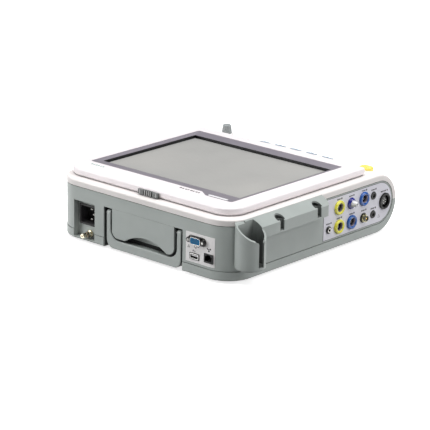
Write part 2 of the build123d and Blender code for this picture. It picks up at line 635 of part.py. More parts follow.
def alarm_lens():
    """Domed yellow alarm lamp on its base."""
    w, h = LAMP_W / 2, LAMP_L / 2
    lens = prism_z(LAMP_X - w, LAMP_X + w, LAMP_Y - h, LAMP_Y + h, 6.6, TOP_Z - LAMP_SINK, TOP_Z + LAMP_H)
    lens = fillet(lens.edges().group_by(Axis.Z)[-1], 2.8) - body_form(0)
    return lens + prism_z(LAMP_X - 5.9, LAMP_X + 5.9, LAMP_Y - 5.4, LAMP_Y + 5.4, 4, 80, TOP_Z + 0.1)


def key_board():
    """Circuit board under the keys and the knob."""
    return block(-80, 158, -152, -124, 72.0, 73.6)


def knob_encoder():
    """Encoder body under the knob, on the key board."""
    body = block(KNOB_X - 6.5, KNOB_X + 6.5, KNOB_Y - 6.5, KNOB_Y + 6.5, 73.6, 80)
    return body - rod_z(KNOB_X, KNOB_Y, 3.0 + RUN, 75, 81)


def encoder_plunger():
    """Sliding sleeve of the encoder, which moves down with the knob."""
    return rod_z(KNOB_X, KNOB_Y, 3.0, 77, 87) + rod_z(KNOB_X, KNOB_Y, 2.0, 86, 92)


def knob():
    """Tapered ribbed knob, bored for the plunger."""
    z0, z1 = TOP_Z + 1.1, 100.4
    body = Pos(KNOB_X, KNOB_Y, (z0 + z1) / 2) * Cone(7.6, 6.0, z1 - z0)
    body = fillet(body.edges().group_by(Axis.Z)[-1], 1.2)
    for k in range(24):
        a = 2 * math.pi * k / 24
        groove = Rot(0, -6.6, 0) * Cylinder(0.45, 10.0)
        body -= Pos(KNOB_X, KNOB_Y, (z0 + z1) / 2 - 1) * Rot(0, 0, math.degrees(a)) * Pos(7.1, 0, 0) * groove
    return body - rod_z(KNOB_X, KNOB_Y, 2.0 + RUN, z0 - 1, 92.5) - rod_z(KNOB_X, KNOB_Y, 3.3, z0 - 1, 87.9)


# ---- Display ----

def lid_plan(inset):
    """Plan outline of the display lid."""
    x0, x1, y0, y1 = LID_X0 + inset, LID_X1 - inset, LID_Y0 + inset, LID_Y1 - inset
    corners = [(x0, 0), (x0, y1), (x1, y1), (x1, y0), (x0, y0), (x0, -1)]
    big, small = LID_REAR_R - inset, max(LID_FRONT_R - inset, 1)
    outline = FilletPolyline(*corners, radius=[big, big, small, small])
    return make_face(outline + Line(corners[-1], corners[0]))


def lid_slab(inset, z0, z1):
    """The lid's outline as a slab."""
    return Pos(0, 0, z0) * extrude(lid_plan(inset), z1 - z0)


def frame_face(inset):
    """Outline of the dark surround, with its tab towards the rear."""
    x0, x1 = SCREEN_X - FRAME_W / 2 + inset, SCREEN_X + FRAME_W / 2 - inset
    y0, y1 = SCREEN_Y - FRAME_H / 2 + inset, SCREEN_Y + FRAME_H / 2 - inset
    outline = Polyline((x0, y0), (x1, y0), (x1, y1), (-46.5, y1), (-61.0, y1 + 9.6), (x0, y1 + 9.6), close=True)
    face = make_face(outline)
    return fillet(face.vertices().filter_by(lambda v: v.Y < 0 or abs(v.X - x1) < 1 or abs(v.X - x0) < 1), 4.0)


def window_form(w, h, z0, z1):
    """Upright rectangular opening on the screen's centre."""
    return Pos(SCREEN_X, SCREEN_Y, (z0 + z1) / 2) * Box(w, h, z1 - z0)


def lid_front():
    """Front shell of the display: skirt, top wall, hinge blocks and the latch slot."""
    shell = lid_slab(0, LID_Z0, LID_Z1)
    top = shell.edges().group_by(Axis.Z)[-1]
    shell = fillet(top, SOFT_EDGE)
    foot = shell.edges().group_by(Axis.Z)[0].filter_by(Axis.X).sort_by(Axis.Y)[0]
    shell = fillet(foot, HINGE_R - 0.1)
    shell -= lid_slab(LID_WALL, LID_Z0 - 1, LID_Z1 - 2.2)
    nose_y, nose_z = LID_Y0 + LID_NOSE_R, LID_Z1 - LID_NOSE_R
    nose = block(LID_X0 - 1, LID_X1 + 1, LID_Y0 - 1, nose_y, nose_z, LID_Z1 + 1)
    shell -= nose - rod_x(nose_y, nose_z, LID_NOSE_R, LID_X0 - 2, LID_X1 + 2)
    for x in HINGE_X:
        boss = block(x - 15, x + 15, LID_Y0 + 1, HINGE_Y + HINGE_R, HINGE_Z, LID_Z1 - 2)
        boss += rod_x(HINGE_Y, HINGE_Z, HINGE_R - 0.1, x - 15, x + 15)
        shell += boss
        shell -= block(x - EAR_W / 2 - 0.5, x + EAR_W / 2 + 0.5, LID_Y0 - 1, HINGE_Y + HINGE_R + 1, LID_Z0 - 1, 95.8)
        shell -= rod_x(HINGE_Y, HINGE_Z, PIN_R, x - 13, x + 13)
    shell -= Pos(0, 0, 90) * extrude(frame_face(0), 10)
    slot = block(LATCH_X0 + 6, LATCH_X1 - 6 + LATCH_TRAVEL, LID_Y1 - 4, LID_Y1 + 1, 90.0, 94.0)
    return shell - slot


def lid_back():
    """Rear shell of the display: closing plate and the shallow pan that holds the electronics."""
    x0, x1, y0, y1 = PAN
    plate = lid_slab(LID_WALL + 0.1, LID_Z0 + 0.2, LID_Z0 + 2.2)
    plate += prism_z(x0, x1, y0, y1, 5, PAN_Z, LID_Z0 + 0.5)
    plate -= prism_z(x0 + 2, x1 - 2, y0 + 2, y1 - 2, 3.5, PAN_Z + 2, LID_Z0 + 4)
    plate -= block(-FAR, FAR, -FAR, HINGE_Y + HINGE_R + 0.8, 0, FAR)
    return plate - block(tongue_x() - 7, tongue_x() + 7 + LATCH_TRAVEL, 153.5, 160.5, 80, 95)


def bezel_frame():
    """Dark surround: slopes gently from the lid's face down to the window's lip."""
    frame = Pos(0, 0, GLASS_Z) * extrude(frame_face(0), FRAME_Z - GLASS_Z)
    top = Pos(SCREEN_X, SCREEN_Y, FRAME_Z + 0.01) * Rectangle(FRAME_W - 6, FRAME_H - 6)
    lip = Pos(SCREEN_X, SCREEN_Y, LIP_Z) * Rectangle(WINDOW_W + 1, WINDOW_H + 1)
    frame -= loft([lip, top])
    frame -= window_form(WINDOW_W, WINDOW_H, GLASS_Z - 1, FRAME_Z + 1)
    hollow = window_form(WINDOW_W + 8, WINDOW_H + 11, GLASS_Z - 1, LIP_Z - 1.6)
    hollow -= window_form(WINDOW_W + 3, WINDOW_H + 3, GLASS_Z - 2, FRAME_Z)
    return frame - hollow


def lcd_panel():
    """Flat display module."""
    module = window_form(262, 199, 85.6, GLASS_Z)
    return module - window_form(252, 190, 84, 87)


def display_board():
    """Circuit board in the pan behind the display."""
    board = block(-40, 90, -40, 60, 82.5, 83.7)
    for x in (-25, 10, 48):
        board += block(x, x + 18, -20, 0, 83.6, 84.8)
    return board


def hinge_pins():
    """Two steel hinge pins."""
    return [rod_x(HINGE_Y, HINGE_Z, PIN_R, x - 13, x + 13) for x in HINGE_X]


def tongue_x():
    """Middle of the latch tongue."""
    return (LATCH_X0 + LATCH_X1) / 2


def latch_slider():
    """Ribbed slider on the lid's rear edge, with a stem through the wall and a tongue into the body."""
    y = LID_Y1 + 0.3
    grip = block(LATCH_X0, LATCH_X1, y, y + 2.0, LATCH_Z0, LATCH_Z1)
    for x0, x1 in ((LATCH_X0, LATCH_X0 + 9.5), (LATCH_X1 - 9.5, LATCH_X1)):
        grip += block(x0, x1, y, y + 3.4, LATCH_Z0, LATCH_Z1)
    for k in range(4):
        x = LATCH_X0 + 11.6 + 3.4 * k
        grip += block(x, x + 1.8, y, y + 3.8, LATCH_Z0 - 0.2, LATCH_Z1 + 0.2)
    stem_x0, stem_x1 = LATCH_X0 + 6.3, LATCH_X1 - 6.3
    grip += block(stem_x0, stem_x1, LID_Y1 - 4, y + 0.5, 90.4, 93.6)
    grip += block(stem_x0, stem_x1, LID_Y1 - 5.4, LID_Y1 - 2.8, 89.8, 94.4)
    return grip + block(tongue_x() - 5, tongue_x() + 5, LID_Y1 - 5.4, LID_Y1 - 2.8, 80.5, 90.5)


# ---- Paper recorder ----

def drawer_front():
    """Front of the paper drawer, cut from the same bowed nose as the tray."""
    half = DRAWER_W / 2 - DRAWER_GAP
    skin = body_form(0) - body_form(FRONT_T)
    front = skin & block(BODY_CX - half, BODY_CX + half, -FAR, -140, DRAWER_Z0 + DRAWER_GAP, DRAWER_Z1 - 0.9)
    grip = rod_x(NOSE_MID_Y + 3, 24, 5.5, BODY_CX - 22, BODY_CX + 22)
    return front - (grip & body_form(-1)) + ((rod_x(NOSE_MID_Y + 3, 24, 7.3, BODY_CX - 24, BODY_CX + 24) - grip)
                                            & body_form(FRONT_T - 0.1))


def paper_drawer():
    """Tray of the drawer, with two cheeks that carry the platen roller."""
    half = TRAY_W / 2
    x0, x1 = BODY_CX - half, BODY_CX + half
    tray = block(x0, x1, TRAY_Y0, TRAY_Y1, TRAY_Z0, TRAY_Z1)
    tray -= block(x0 + 2, x1 - 2, TRAY_Y0 + 2, TRAY_Y1 - 2, TRAY_Z0 + 2, TRAY_Z1 + 1)
    cheeks = block(x0, x0 + 2, -FAR, TRAY_Y0 + 20, TRAY_Z0, 45.0) + block(x1 - 2, x1, -FAR, TRAY_Y0 + 20, TRAY_Z0, 45.0)
    tray += cheeks & body_form(FRONT_T)
    return tray - rod_x(ROLLER_Y, ROLLER_Z, 2.0 + RUN, -FAR, FAR)


def platen_roller():
    """Rubber platen on its steel shaft."""
    half = TRAY_W / 2
    roller = rod_x(ROLLER_Y, ROLLER_Z, ROLLER_R, BODY_CX - half + 3.5, BODY_CX + half - 3.5)
    return roller + rod_x(ROLLER_Y, ROLLER_Z, 2.0, BODY_CX - half - 0.4, BODY_CX + half + 0.4)


def paper_pack():
    """Folded pack of chart paper."""
    return block(BODY_CX - 75.5, BODY_CX + 75.5, -160.0, -68.0, TRAY_Z0 + 2.1, TRAY_Z0 + 15)


def print_head():
    """Thermal head above the roller."""
    head = block(BODY_CX - 76, BODY_CX + 76, ROLLER_Y - 1, ROLLER_Y + 9, ROLLER_Z + ROLLER_R + 0.6, ROLLER_Z + ROLLER_R + 4)
    return head + block(BODY_CX - 76, BODY_CX + 76, ROLLER_Y + 3, ROLLER_Y + 9, ROLLER_Z + ROLLER_R + 3, 60)


def recorder_motor():
    """Stepper motor with its closed gearbox, beside the drawer."""
    motor = rod_x(-138, 33, 12, 108, 128) + block(100, 108.5, -156, -124, 20, 46)
    return motor


# ---- Inside the body ----

def chassis_plate():
    """Sheet metal plate that carries the boards."""
    plate = block(-116, 158, -50, 142, CHASSIS_Z, CHASSIS_Z + 1.2)
    plate += block(-116, -114.8, -50, 142, CHASSIS_Z, CHASSIS_Z + 10)
    for x in (-90, -45):
        plate -= prism_z(x, x + 30, 70, 130, 5, CHASSIS_Z - 1, CHASSIS_Z + 3)
    return plate


def main_board():
    """Main circuit board with its large packages, on four standoffs."""
    board = block(-100, 70, -40, 120, 35.0, 36.6)
    for x, y, w, h, t in ((-60, 20, 35, 35, 4), (0, 40, 28, 28, 3), (30, -20, 22, 30, 8), (-80, 80, 40, 18, 6)):
        board += block(x, x + w, y, y + h, 36.5, 36.6 + t)
    for x in (-94, 64):
        for y in (-34, 114):
            board += rod_z(x, y, 3.0, CHASSIS_Z + 1.2, 35.1)
    return board


def parameter_board():
    """Upright board behind the patient sockets."""
    return block(-126.0, -124.4, -150, -16, 20, 72)


def power_supply():
    """Enclosed mains supply."""
    return block(86, 160, 40, 138, CHASSIS_Z + 1.2, 62)


def battery_pack():
    """Rechargeable pack in the tray."""
    x0, x1, y0, y1 = BATTERY
    return block(x0 + 0.5, x1 - 0.5, y0 + 0.5, y1 - 0.5, BASE_Z + 2.3, CHASSIS_Z - 0.4)


def speaker():
    """Round loudspeaker behind its grille."""
    cone = rod_x(-40, 46, 24, RIGHT - 8, RIGHT - WALL)
    return cone + rod_x(-40, 46, 14, RIGHT - 18, RIGHT - 7.9)


def cuff_pump():
    """Air pump for the cuff, on the chassis."""
    pump = rod_x(8, 43, 14, 100, 140)
    return pump + block(104, 136, -4, 20, CHASSIS_Z + 1.2, 40)


def save(name, shape):
    """Write one node's solids to its own file."""
    if isinstance(shape, (list, tuple)):
        shape = Compound(children=list(shape))
    export_step(shape, f"parts/{name}.step")


def main():
    os.makedirs("parts", exist_ok=True)
    tray, wall, cover = case_parts()
    save("bottom_case", bottom_case(tray))
    save("mid_case", mid_case(wall))
    save("top_case", top_case(cover))
    for number, place in enumerate(YELLOW, 1):
        save(f"ultrasound_socket_{number}", ring_socket(place))
    save("contraction_socket", ring_socket(BLUE[0]))
    save("oximeter_socket", ring_socket(BLUE[1]))
    for number, x in enumerate(key_places(), 1):
        save(f"key_{number}", key_cap(x))
    save("connector_plate", plate_form(-0.1) - port_holes())
    for make in (battery_cover, rubber_feet, case_screws, mains_inlet, equipotential_stud, vga_port, usb_port,
                 network_port, handle_panel, carry_handle, handle_pins, socket_plate, cuff_socket, cuff_nozzle,
                 metal_socket, temperature_jacks, ecg_socket, marker_jack, probe_holder, indicator_lenses,
                 alarm_lens, key_board, knob_encoder, encoder_plunger, knob, lid_front, lid_back, bezel_frame,
                 lcd_panel, display_board, hinge_pins, latch_slider, drawer_front, paper_drawer, platen_roller,
                 paper_pack, print_head, recorder_motor, chassis_plate, main_board, parameter_board, power_supply,
                 battery_pack, speaker, cuff_pump):
        save(make.__name__, make())


main()
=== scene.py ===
"""Flat bedside patient monitor with a flip-up display: the looks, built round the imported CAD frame."""

import math

import bmesh
import bpy
from mathutils import Matrix, Vector


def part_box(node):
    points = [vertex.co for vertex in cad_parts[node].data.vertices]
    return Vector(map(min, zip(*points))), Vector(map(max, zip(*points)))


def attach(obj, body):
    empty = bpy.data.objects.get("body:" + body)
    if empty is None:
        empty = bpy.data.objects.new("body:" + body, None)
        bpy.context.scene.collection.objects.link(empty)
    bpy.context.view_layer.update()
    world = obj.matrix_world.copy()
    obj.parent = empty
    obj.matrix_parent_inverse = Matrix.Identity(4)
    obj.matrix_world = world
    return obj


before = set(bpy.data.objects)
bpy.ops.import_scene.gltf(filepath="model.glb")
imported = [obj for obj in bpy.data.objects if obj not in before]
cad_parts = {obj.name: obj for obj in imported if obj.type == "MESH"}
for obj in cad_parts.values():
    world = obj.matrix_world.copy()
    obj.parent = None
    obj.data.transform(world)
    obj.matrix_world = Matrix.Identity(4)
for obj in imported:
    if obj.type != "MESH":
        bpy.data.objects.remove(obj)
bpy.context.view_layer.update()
scene = bpy.context.scene
MM = 0.001


# ---- Materials ----

def linear(*rgb):
    """Linear colour from 0-255 display values."""
    return tuple(((c / 255 + 0.055) / 1.055) ** 2.4 if c > 10 else c / 255 / 12.92 for c in rgb) + (1.0,)


CLOSED = 0.22           # how open a point is where the painted crevice shade is darkest
PAINTED_SHADE = 0.16            # brightness of the painted crevice shade, as a share of the plastic's own colour


class Finish:
    """One material and the few kinds of node that it is made from."""

    def __init__(self, name, **sockets):
        self.mat = bpy.data.materials.new(name)
        self.mat.use_nodes = True
        self.tree = self.mat.node_tree
        self.shader = self.tree.nodes["Principled BSDF"]
        for key, value in sockets.items():
            self.shader.inputs[key.replace("_", " ")].default_value = value
        self.place = self.node("ShaderNodeTexCoord").outputs["Object"]

    def node(self, kind, **values):
        n = self.tree.nodes.new(kind)
        for key, value in values.items():
            setattr(n, key, value)
        return n

    def plug(self, node, socket, value):
        if isinstance(value, bpy.types.NodeSocket):
            self.tree.links.new(value, node.inputs[socket])
        else:
            node.inputs[socket].default_value = value

    def noise(self, scale, detail=2.0, stretch=None):
        """Soft noise, scale in features a metre."""
        n = self.node("ShaderNodeTexNoise")
        where = self.place
        if stretch:
            m = self.node("ShaderNodeMapping")
            self.plug(m, "Vector", where)
            self.plug(m, "Scale", stretch)
            where = m.outputs["Vector"]
        self.plug(n, "Vector", where)
        self.plug(n, "Scale", scale)
        self.plug(n, "Detail", detail)
        return n.outputs["Fac"]

    def span(self, value, a, b, lo, hi):
        """Maps a..b onto lo..hi, clamped."""
        n = self.node("ShaderNodeMapRange")
        rows = (("Value", value), ("From Min", a), ("From Max", b), ("To Min", lo), ("To Max", hi))
        for socket, v in rows:
            self.plug(n, socket, v)
        return n.outputs["Result"]

    def maths(self, operation, a, b):
        n = self.node("ShaderNodeMath", operation=operation)
        self.plug(n, 0, a)
        self.plug(n, 1, b)
        return n.outputs[0]

    def blend(self, fac, a, b):
        n = self.node("ShaderNodeMix", data_type="RGBA")
        for socket, v in ((0, fac), (6, a), (7, b)):
            self.plug(n, socket, v)
        return n.outputs[2]

    def grid(self, cell, gap, first, second, line):
        """Square cells with lines between them, sizes in millimetres."""
        n = self.node("ShaderNodeTexBrick", offset=0.0)
        rows = (("Vector", self.place), ("Scale", 1.0), ("Brick Width", cell * MM),
                ("Row Height", cell * MM), ("Mortar Size", gap * MM),
                ("Color1", first), ("Color2", second), ("Mortar", line))
        for socket, v in rows:
            self.plug(n, socket, v)
        return n

    def soft_normal(self, radius):
        n = self.node("ShaderNodeBevel", samples=6)
        self.plug(n, "Radius", radius * MM)
        return n.outputs["Normal"]

    def edges(self, normal):
        """1 along sharp edges, 0 on plain faces."""
        dot = self.node("ShaderNodeVectorMath", operation="DOT_PRODUCT")
        self.plug(dot, 0, normal)
        self.plug(dot, 1, self.node("ShaderNodeNewGeometry").outputs["Normal"])
        return self.span(dot.outputs["Value"], 0.995, 0.80, 0.0, 1.0)

    def crevice_shade(self, reach, dark, free=0.50):
        """Painted shade from an occlusion node: 1 out in the open, down to dark in narrow gaps and corners.

        free is how open a point is where the darkening starts."""
        n = self.node("ShaderNodeAmbientOcclusion", samples=8)
        self.plug(n, "Distance", reach * MM)
        return self.span(n.outputs["AO"], CLOSED, free, dark, 1.0)

    def relief(self, height, depth, normal, strength=1.0):
        """Bump with its depth in millimetres."""
        n = self.node("ShaderNodeBump")
        self.plug(n, "Height", height)
        self.plug(n, "Distance", depth * MM)
        self.plug(n, "Strength", strength)
        self.plug(n, "Normal", normal)
        return n.outputs["Normal"]


# Painted crevice shade: its reach, darkest value and, for the cup, where it starts; wide gaps first, then
# narrow ones.
DEEP_GAPS = ((16, 0.10), (2.0, 0.2))
FAINT_GAPS = ((12, 0.72), (2.0, 0.55))
CUP_GAPS = ((44, 0.22, 0.90), (5.0, 0.35))


def moulded(name, colour, shade, pale_tone, rough=(0.38, 0.5), grain=2600, depth=0.012, soft=0.5, wear_and_sheen_amount=0.35,
            gaps=DEEP_GAPS, **sockets):
    """Injection-moulded plastic: faint clouding, spark-eroded grain, soft edges that are paler, as rubbed
    wear and, on the glossy rings, as painted highlight.

    gaps holds the arguments of the painted crevice shade, once for wide gaps and once for narrow ones."""
    f = Finish(name, **sockets)
    normal = f.soft_normal(soft)
    cloud = f.noise(26, 3.0)
    speck = f.noise(900, 2.0)
    body = f.blend(f.span(cloud, 0.32, 0.68, 0.0, 1.0), linear(*colour), linear(*shade))
    body = f.blend(f.span(speck, 0.62, 0.8, 0.0, 0.10), body, linear(*pale_tone))
    # Paler edges: rubbed wear, and on the glossy rings also painted highlight along the rims.
    wear_and_sheen = f.maths("MULTIPLY", f.edges(normal), f.span(f.noise(140, 3.0), 0.3, 0.7, 0.0, wear_and_sheen_amount))
    body = f.blend(wear_and_sheen, body, linear(*pale_tone))
    # Painted shade: the colour darkens in gaps and corners, where shade falls.
    gap = f.maths("MULTIPLY", f.crevice_shade(*gaps[0]), f.crevice_shade(*gaps[1]))
    f.plug(f.shader, "Base Color", f.blend(gap, linear(*[c * PAINTED_SHADE for c in colour]), body))
    gloss = f.span(f.noise(70, 3.0), 0.3, 0.7, rough[0], rough[1])
    f.plug(f.shader, "Roughness", f.maths("SUBTRACT", gloss, f.maths("MULTIPLY", wear_and_sheen, 0.25)))
    f.plug(f.shader, "Normal", f.relief(f.noise(grain, 2.0), depth, normal))
    return f.mat


def metal(name, colour, shade, rough=(0.18, 0.34), brushed=(1, 1, 1), soft=0.25, **sockets):
    """Bare or plated metal with fine directional scratches and brighter edges."""
    f = Finish(name, Metallic=1.0, **sockets)
    normal = f.soft_normal(soft)
    streak = f.noise(700, 4.0, brushed)
    body = f.blend(f.span(f.noise(90, 3.0), 0.3, 0.7, 0.0, 1.0), linear(*colour), linear(*shade))
    f.plug(f.shader, "Base Color", body)
    f.plug(f.shader, "Roughness", f.span(streak, 0.3, 0.7, rough[0], rough[1]))
    f.plug(f.shader, "Normal", f.relief(streak, 0.004, normal))
    return f.mat


def display_face():
    """Matt front of the liquid crystal panel: the pale warm grey with its slow clouding is painted
    reflection of the bright studio in the dark glass, over a very fine grid of cells.
    """
    f = Finish("screen_painted_reflection", Specular_IOR_Level=0.45)
    cells = f.grid(0.24, 0.02, (1, 1, 1, 1), (1, 1, 1, 1), (0, 0, 0, 1))
    # Painted reflection: slow gradient between two pale greys, in place of the studio mirrored in the dark
    # glass.
    cloud = f.span(f.noise(5, 2.0), 0.35, 0.65, 0.0, 1.0)
    painted_reflection = f.blend(cloud, linear(172, 171, 168), linear(162, 162, 160))
    painted_reflection = f.blend(f.span(f.noise(1600, 2.0), 0.5, 0.75, 0.0, 0.08), painted_reflection, linear(198, 196, 191))
    f.plug(f.shader, "Base Color", painted_reflection)
    f.plug(f.shader, "Roughness", f.span(f.noise(60, 3.0), 0.3, 0.7, 0.30, 0.40))
    f.plug(f.shader, "Normal", f.relief(cells.outputs["Fac"], 0.002, f.soft_normal(0.2), 0.4))
    return f.mat


def sheet_board():
    """Green circuit board with darker tracks."""
    f = Finish("board_laminate", Specular_IOR_Level=0.5)
    tracks = f.node("ShaderNodeTexVoronoi", feature="DISTANCE_TO_EDGE")
    f.plug(tracks, "Vector", f.place)
    f.plug(tracks, "Scale", 240.0)
    lines = f.span(tracks.outputs["Distance"], 0.02, 0.06, 1.0, 0.0)
    f.plug(f.shader, "Base Color", f.blend(lines, linear(28, 84, 58), linear(60, 122, 84)))
    f.plug(f.shader, "Roughness", f.span(f.noise(300), 0.3, 0.7, 0.3, 0.45))
    f.plug(f.shader, "Normal", f.relief(lines, 0.03, f.soft_normal(0.2)))
    return f.mat


def rubber(name, colour, shade):
    """Matt rubber with soft clouding and a coarse grain; also the dark painted shadow in the handle pocket.
    """
    f = Finish(name, Specular_IOR_Level=0.3)
    normal = f.soft_normal(0.6)
    cloud = f.span(f.noise(60, 3.0), 0.3, 0.7, 0.0, 1.0)
    f.plug(f.shader, "Base Color", f.blend(cloud, linear(*colour), linear(*shade)))
    f.plug(f.shader, "Roughness", f.span(f.noise(400, 3.0), 0.3, 0.7, 0.68, 0.84))
    f.plug(f.shader, "Normal", f.relief(f.noise(1800, 3.0), 0.03, normal))
    return f.mat


def paper():
    """Folded chart paper: off-white with a pale printed grid."""
    f = Finish("chart_paper_white", Specular_IOR_Level=0.2)
    grid = f.grid(5.0, 0.12, linear(240, 238, 228), linear(236, 235, 226), linear(196, 170, 160))
    f.plug(f.shader, "Base Color", grid.outputs["Color"])
    f.plug(f.shader, "Roughness", f.span(f.noise(200), 0.3, 0.7, 0.75, 0.9))
    layers = f.noise(1500, 1.0, (0.05, 0.05, 1.0))
    f.plug(f.shader, "Normal", f.relief(layers, 0.15, f.soft_normal(0.3)))
    return f.mat


def clear(name, colour, rough, through):
    """Clear or tinted transparent plastic."""
    f = Finish(name, Transmission_Weight=through, IOR=1.49)
    cloud = f.span(f.noise(200), 0.3, 0.7, 0.0, 1.0)
    f.plug(f.shader, "Base Color", f.blend(cloud, linear(*colour), linear(*[c - 14 for c in colour])))
    f.plug(f.shader, "Roughness", f.span(f.noise(300), 0.3, 0.7, rough, rough + 0.12))
    f.plug(f.shader, "Normal", f.relief(f.noise(500), 0.01, f.soft_normal(0.3)))
    return f.mat


BODY_GREY = moulded("body_grey", (176, 183, 180), (170, 177, 174), (210, 215, 213))
HOLDER_GREY = moulded("holder_grey", (168, 175, 172), (161, 168, 165), (214, 218, 216),
                      wear_and_sheen_amount=0.5, gaps=CUP_GAPS)
COVER_WHITE = moulded("cover_white", (243, 238, 236), (238, 233, 231), (250, 248, 247),
                      rough=(0.32, 0.44), wear_and_sheen_amount=0.2,
                      gaps=FAINT_GAPS)
LID_WHITE = moulded("lid_white", (246, 240, 242), (241, 235, 237), (252, 250, 250), rough=(0.28, 0.4),
                    wear_and_sheen_amount=0.2,
                    gaps=FAINT_GAPS)
BEZEL = moulded("bezel_violet", (134, 129, 138), (127, 122, 131), (158, 154, 161), rough=(0.3, 0.42),
                gaps=FAINT_GAPS)
PANEL = moulded("panel_lilac", (232, 231, 240), (227, 226, 235), (240, 239, 246), rough=(0.4, 0.5),
                depth=0.006,
                gaps=FAINT_GAPS)
PLATE = moulded("plate_grey", (252, 250, 250), (247, 245, 245), (253, 252, 252), rough=(0.4, 0.5),
                depth=0.006,
                gaps=FAINT_GAPS)
BLACK = moulded("socket_black", (17, 17, 19), (13, 13, 15), (46, 46, 49), rough=(0.3, 0.42), wear_and_sheen_amount=0.2,
                Specular_IOR_Level=0.3)
CORE = moulded("core_charcoal", (38, 37, 40), (32, 31, 34), (112, 110, 114), rough=(0.26, 0.38),
               wear_and_sheen_amount=0.4)
# Mauve-grey of the ring sleeves: painted reflection in the bores.
SLEEVE = moulded("sleeve_painted_reflection", (150, 140, 152), (138, 128, 140), (190, 182, 192), rough=(0.2, 0.3),
                 wear_and_sheen_amount=0.4)
INK = moulded("legend_ink", (24, 24, 30), (18, 18, 24), (76, 76, 84), rough=(0.4, 0.5),
              depth=0.002, wear_and_sheen_amount=0.1)
PALE_INK = moulded("key_ink_pale", (160, 184, 200), (150, 174, 190), (190, 206, 218), rough=(0.4, 0.5),
                   depth=0.002,
                   wear_and_sheen_amount=0.1)
GREEN_INK = moulded("lid_ink_green", (134, 178, 168), (122, 166, 156), (180, 208, 200),
                    rough=(0.4, 0.5), depth=0.002,
                    wear_and_sheen_amount=0.1)
BLANK = moulded("blank_strip_white", (236, 235, 238), (228, 227, 231), (248, 247, 249),
                rough=(0.3, 0.4), wear_and_sheen_amount=0.1)
# Painted light: the knob's cap is paler than its sides.
CAP = moulded("knob_cap_painted_light", (204, 208, 208), (194, 198, 198), (230, 233, 233), rough=(0.3, 0.42))
INLET = moulded("inlet_dark", (66, 64, 67), (58, 56, 59), (96, 94, 98), rough=(0.3, 0.42), wear_and_sheen_amount=0.2)
# Yellow rings: the pale edge tone is painted highlight along the rims as well as wear.
YELLOW = moulded("ring_yellow", (246, 240, 84), (240, 233, 66), (252, 250, 190), rough=(0.14, 0.24),
                 depth=0.004, wear_and_sheen_amount=0.5)
# Blue rings: the pale edge tone is painted highlight along the rims as well as wear.
BLUE = moulded("ring_blue", (24, 96, 186), (16, 82, 168), (120, 190, 240), rough=(0.1, 0.2),
               depth=0.004, wear_and_sheen_amount=0.6)
NAVY = moulded("ring_navy", (26, 30, 136), (20, 24, 120), (96, 110, 206), rough=(0.14, 0.24),
               depth=0.004, wear_and_sheen_amount=0.5)
VGA_BLUE = moulded("port_blue", (0, 104, 152), (0, 92, 138), (50, 146, 190), rough=(0.4, 0.55),
                   depth=0.01,
                   gaps=FAINT_GAPS, Specular_IOR_Level=0.2)
KEY = moulded("key_grey_blue", (186, 200, 214), (178, 192, 207), (214, 222, 232), rough=(0.4, 0.55))
KNOB = moulded("knob_grey", (152, 157, 158), (142, 147, 148), (196, 200, 201), rough=(0.42, 0.56),
               wear_and_sheen_amount=0.5)
LAMP = moulded("lamp_amber", (250, 232, 118), (248, 226, 100), (252, 242, 168), rough=(0.16, 0.26),
               depth=0.004,
               gaps=FAINT_GAPS)
LATCH = moulded("latch_grey", (112, 114, 114), (102, 104, 104), (190, 192, 192), rough=(0.3, 0.42),
                wear_and_sheen_amount=0.7)
# Painted highlight: pale crests on the latch ribs.
RIB = moulded("latch_rib_painted_highlight", (212, 213, 212), (202, 203, 202), (236, 236, 236), rough=(0.3, 0.42),
              wear_and_sheen_amount=0.3)
BATTERY = moulded("battery_black", (58, 60, 64), (50, 52, 56), (90, 92, 96), rough=(0.4, 0.55))
STEEL = metal("steel_bright", (214, 214, 212), (190, 190, 188))
BRIGHT = metal("nickel_bright", (232, 230, 226), (210, 208, 204), rough=(0.12, 0.24))
GOLD = metal("contact_gold", (222, 182, 98), (202, 160, 80), rough=(0.2, 0.3))
BRASS = metal("ring_pale_brass", (206, 198, 160), (176, 166, 124), rough=(0.16, 0.26))
STUD_BRONZE = metal("stud_bronze_dark", (116, 108, 96), (88, 82, 72), rough=(0.26, 0.38))
STUD_PLATE = metal("stud_plated_cream", (236, 228, 206), (216, 206, 180), rough=(0.18, 0.3))
RECEPTACLE = metal("receptacle_olive", (128, 126, 108), (92, 90, 76), rough=(0.22, 0.36))
BLADE = metal("blade_nickel_dull", (150, 149, 146), (124, 123, 120), rough=(0.3, 0.45))
ALU = metal("sheet_aluminium", (196, 198, 200), (178, 180, 182), rough=(0.34, 0.5), brushed=(0.05, 1, 1))
GLASS = display_face()
BOARD = sheet_board()
FOOT = rubber("foot_rubber_dark", (72, 74, 76), (62, 64, 66))
ROLLER = rubber("roller_rubber_dark", (54, 54, 56), (46, 46, 48))
# Painted shadow: dark strips in the handle pocket.
POCKET_SHADE = rubber("pocket_painted_shadow", (34, 36, 36), (26, 28, 28))
PAPER = paper()
CLEAR = clear("nozzle_clear", (250, 251, 254), 0.16, 0.08)
LENS = clear("lens_smoked", (34, 36, 44), 0.2, 0.1)

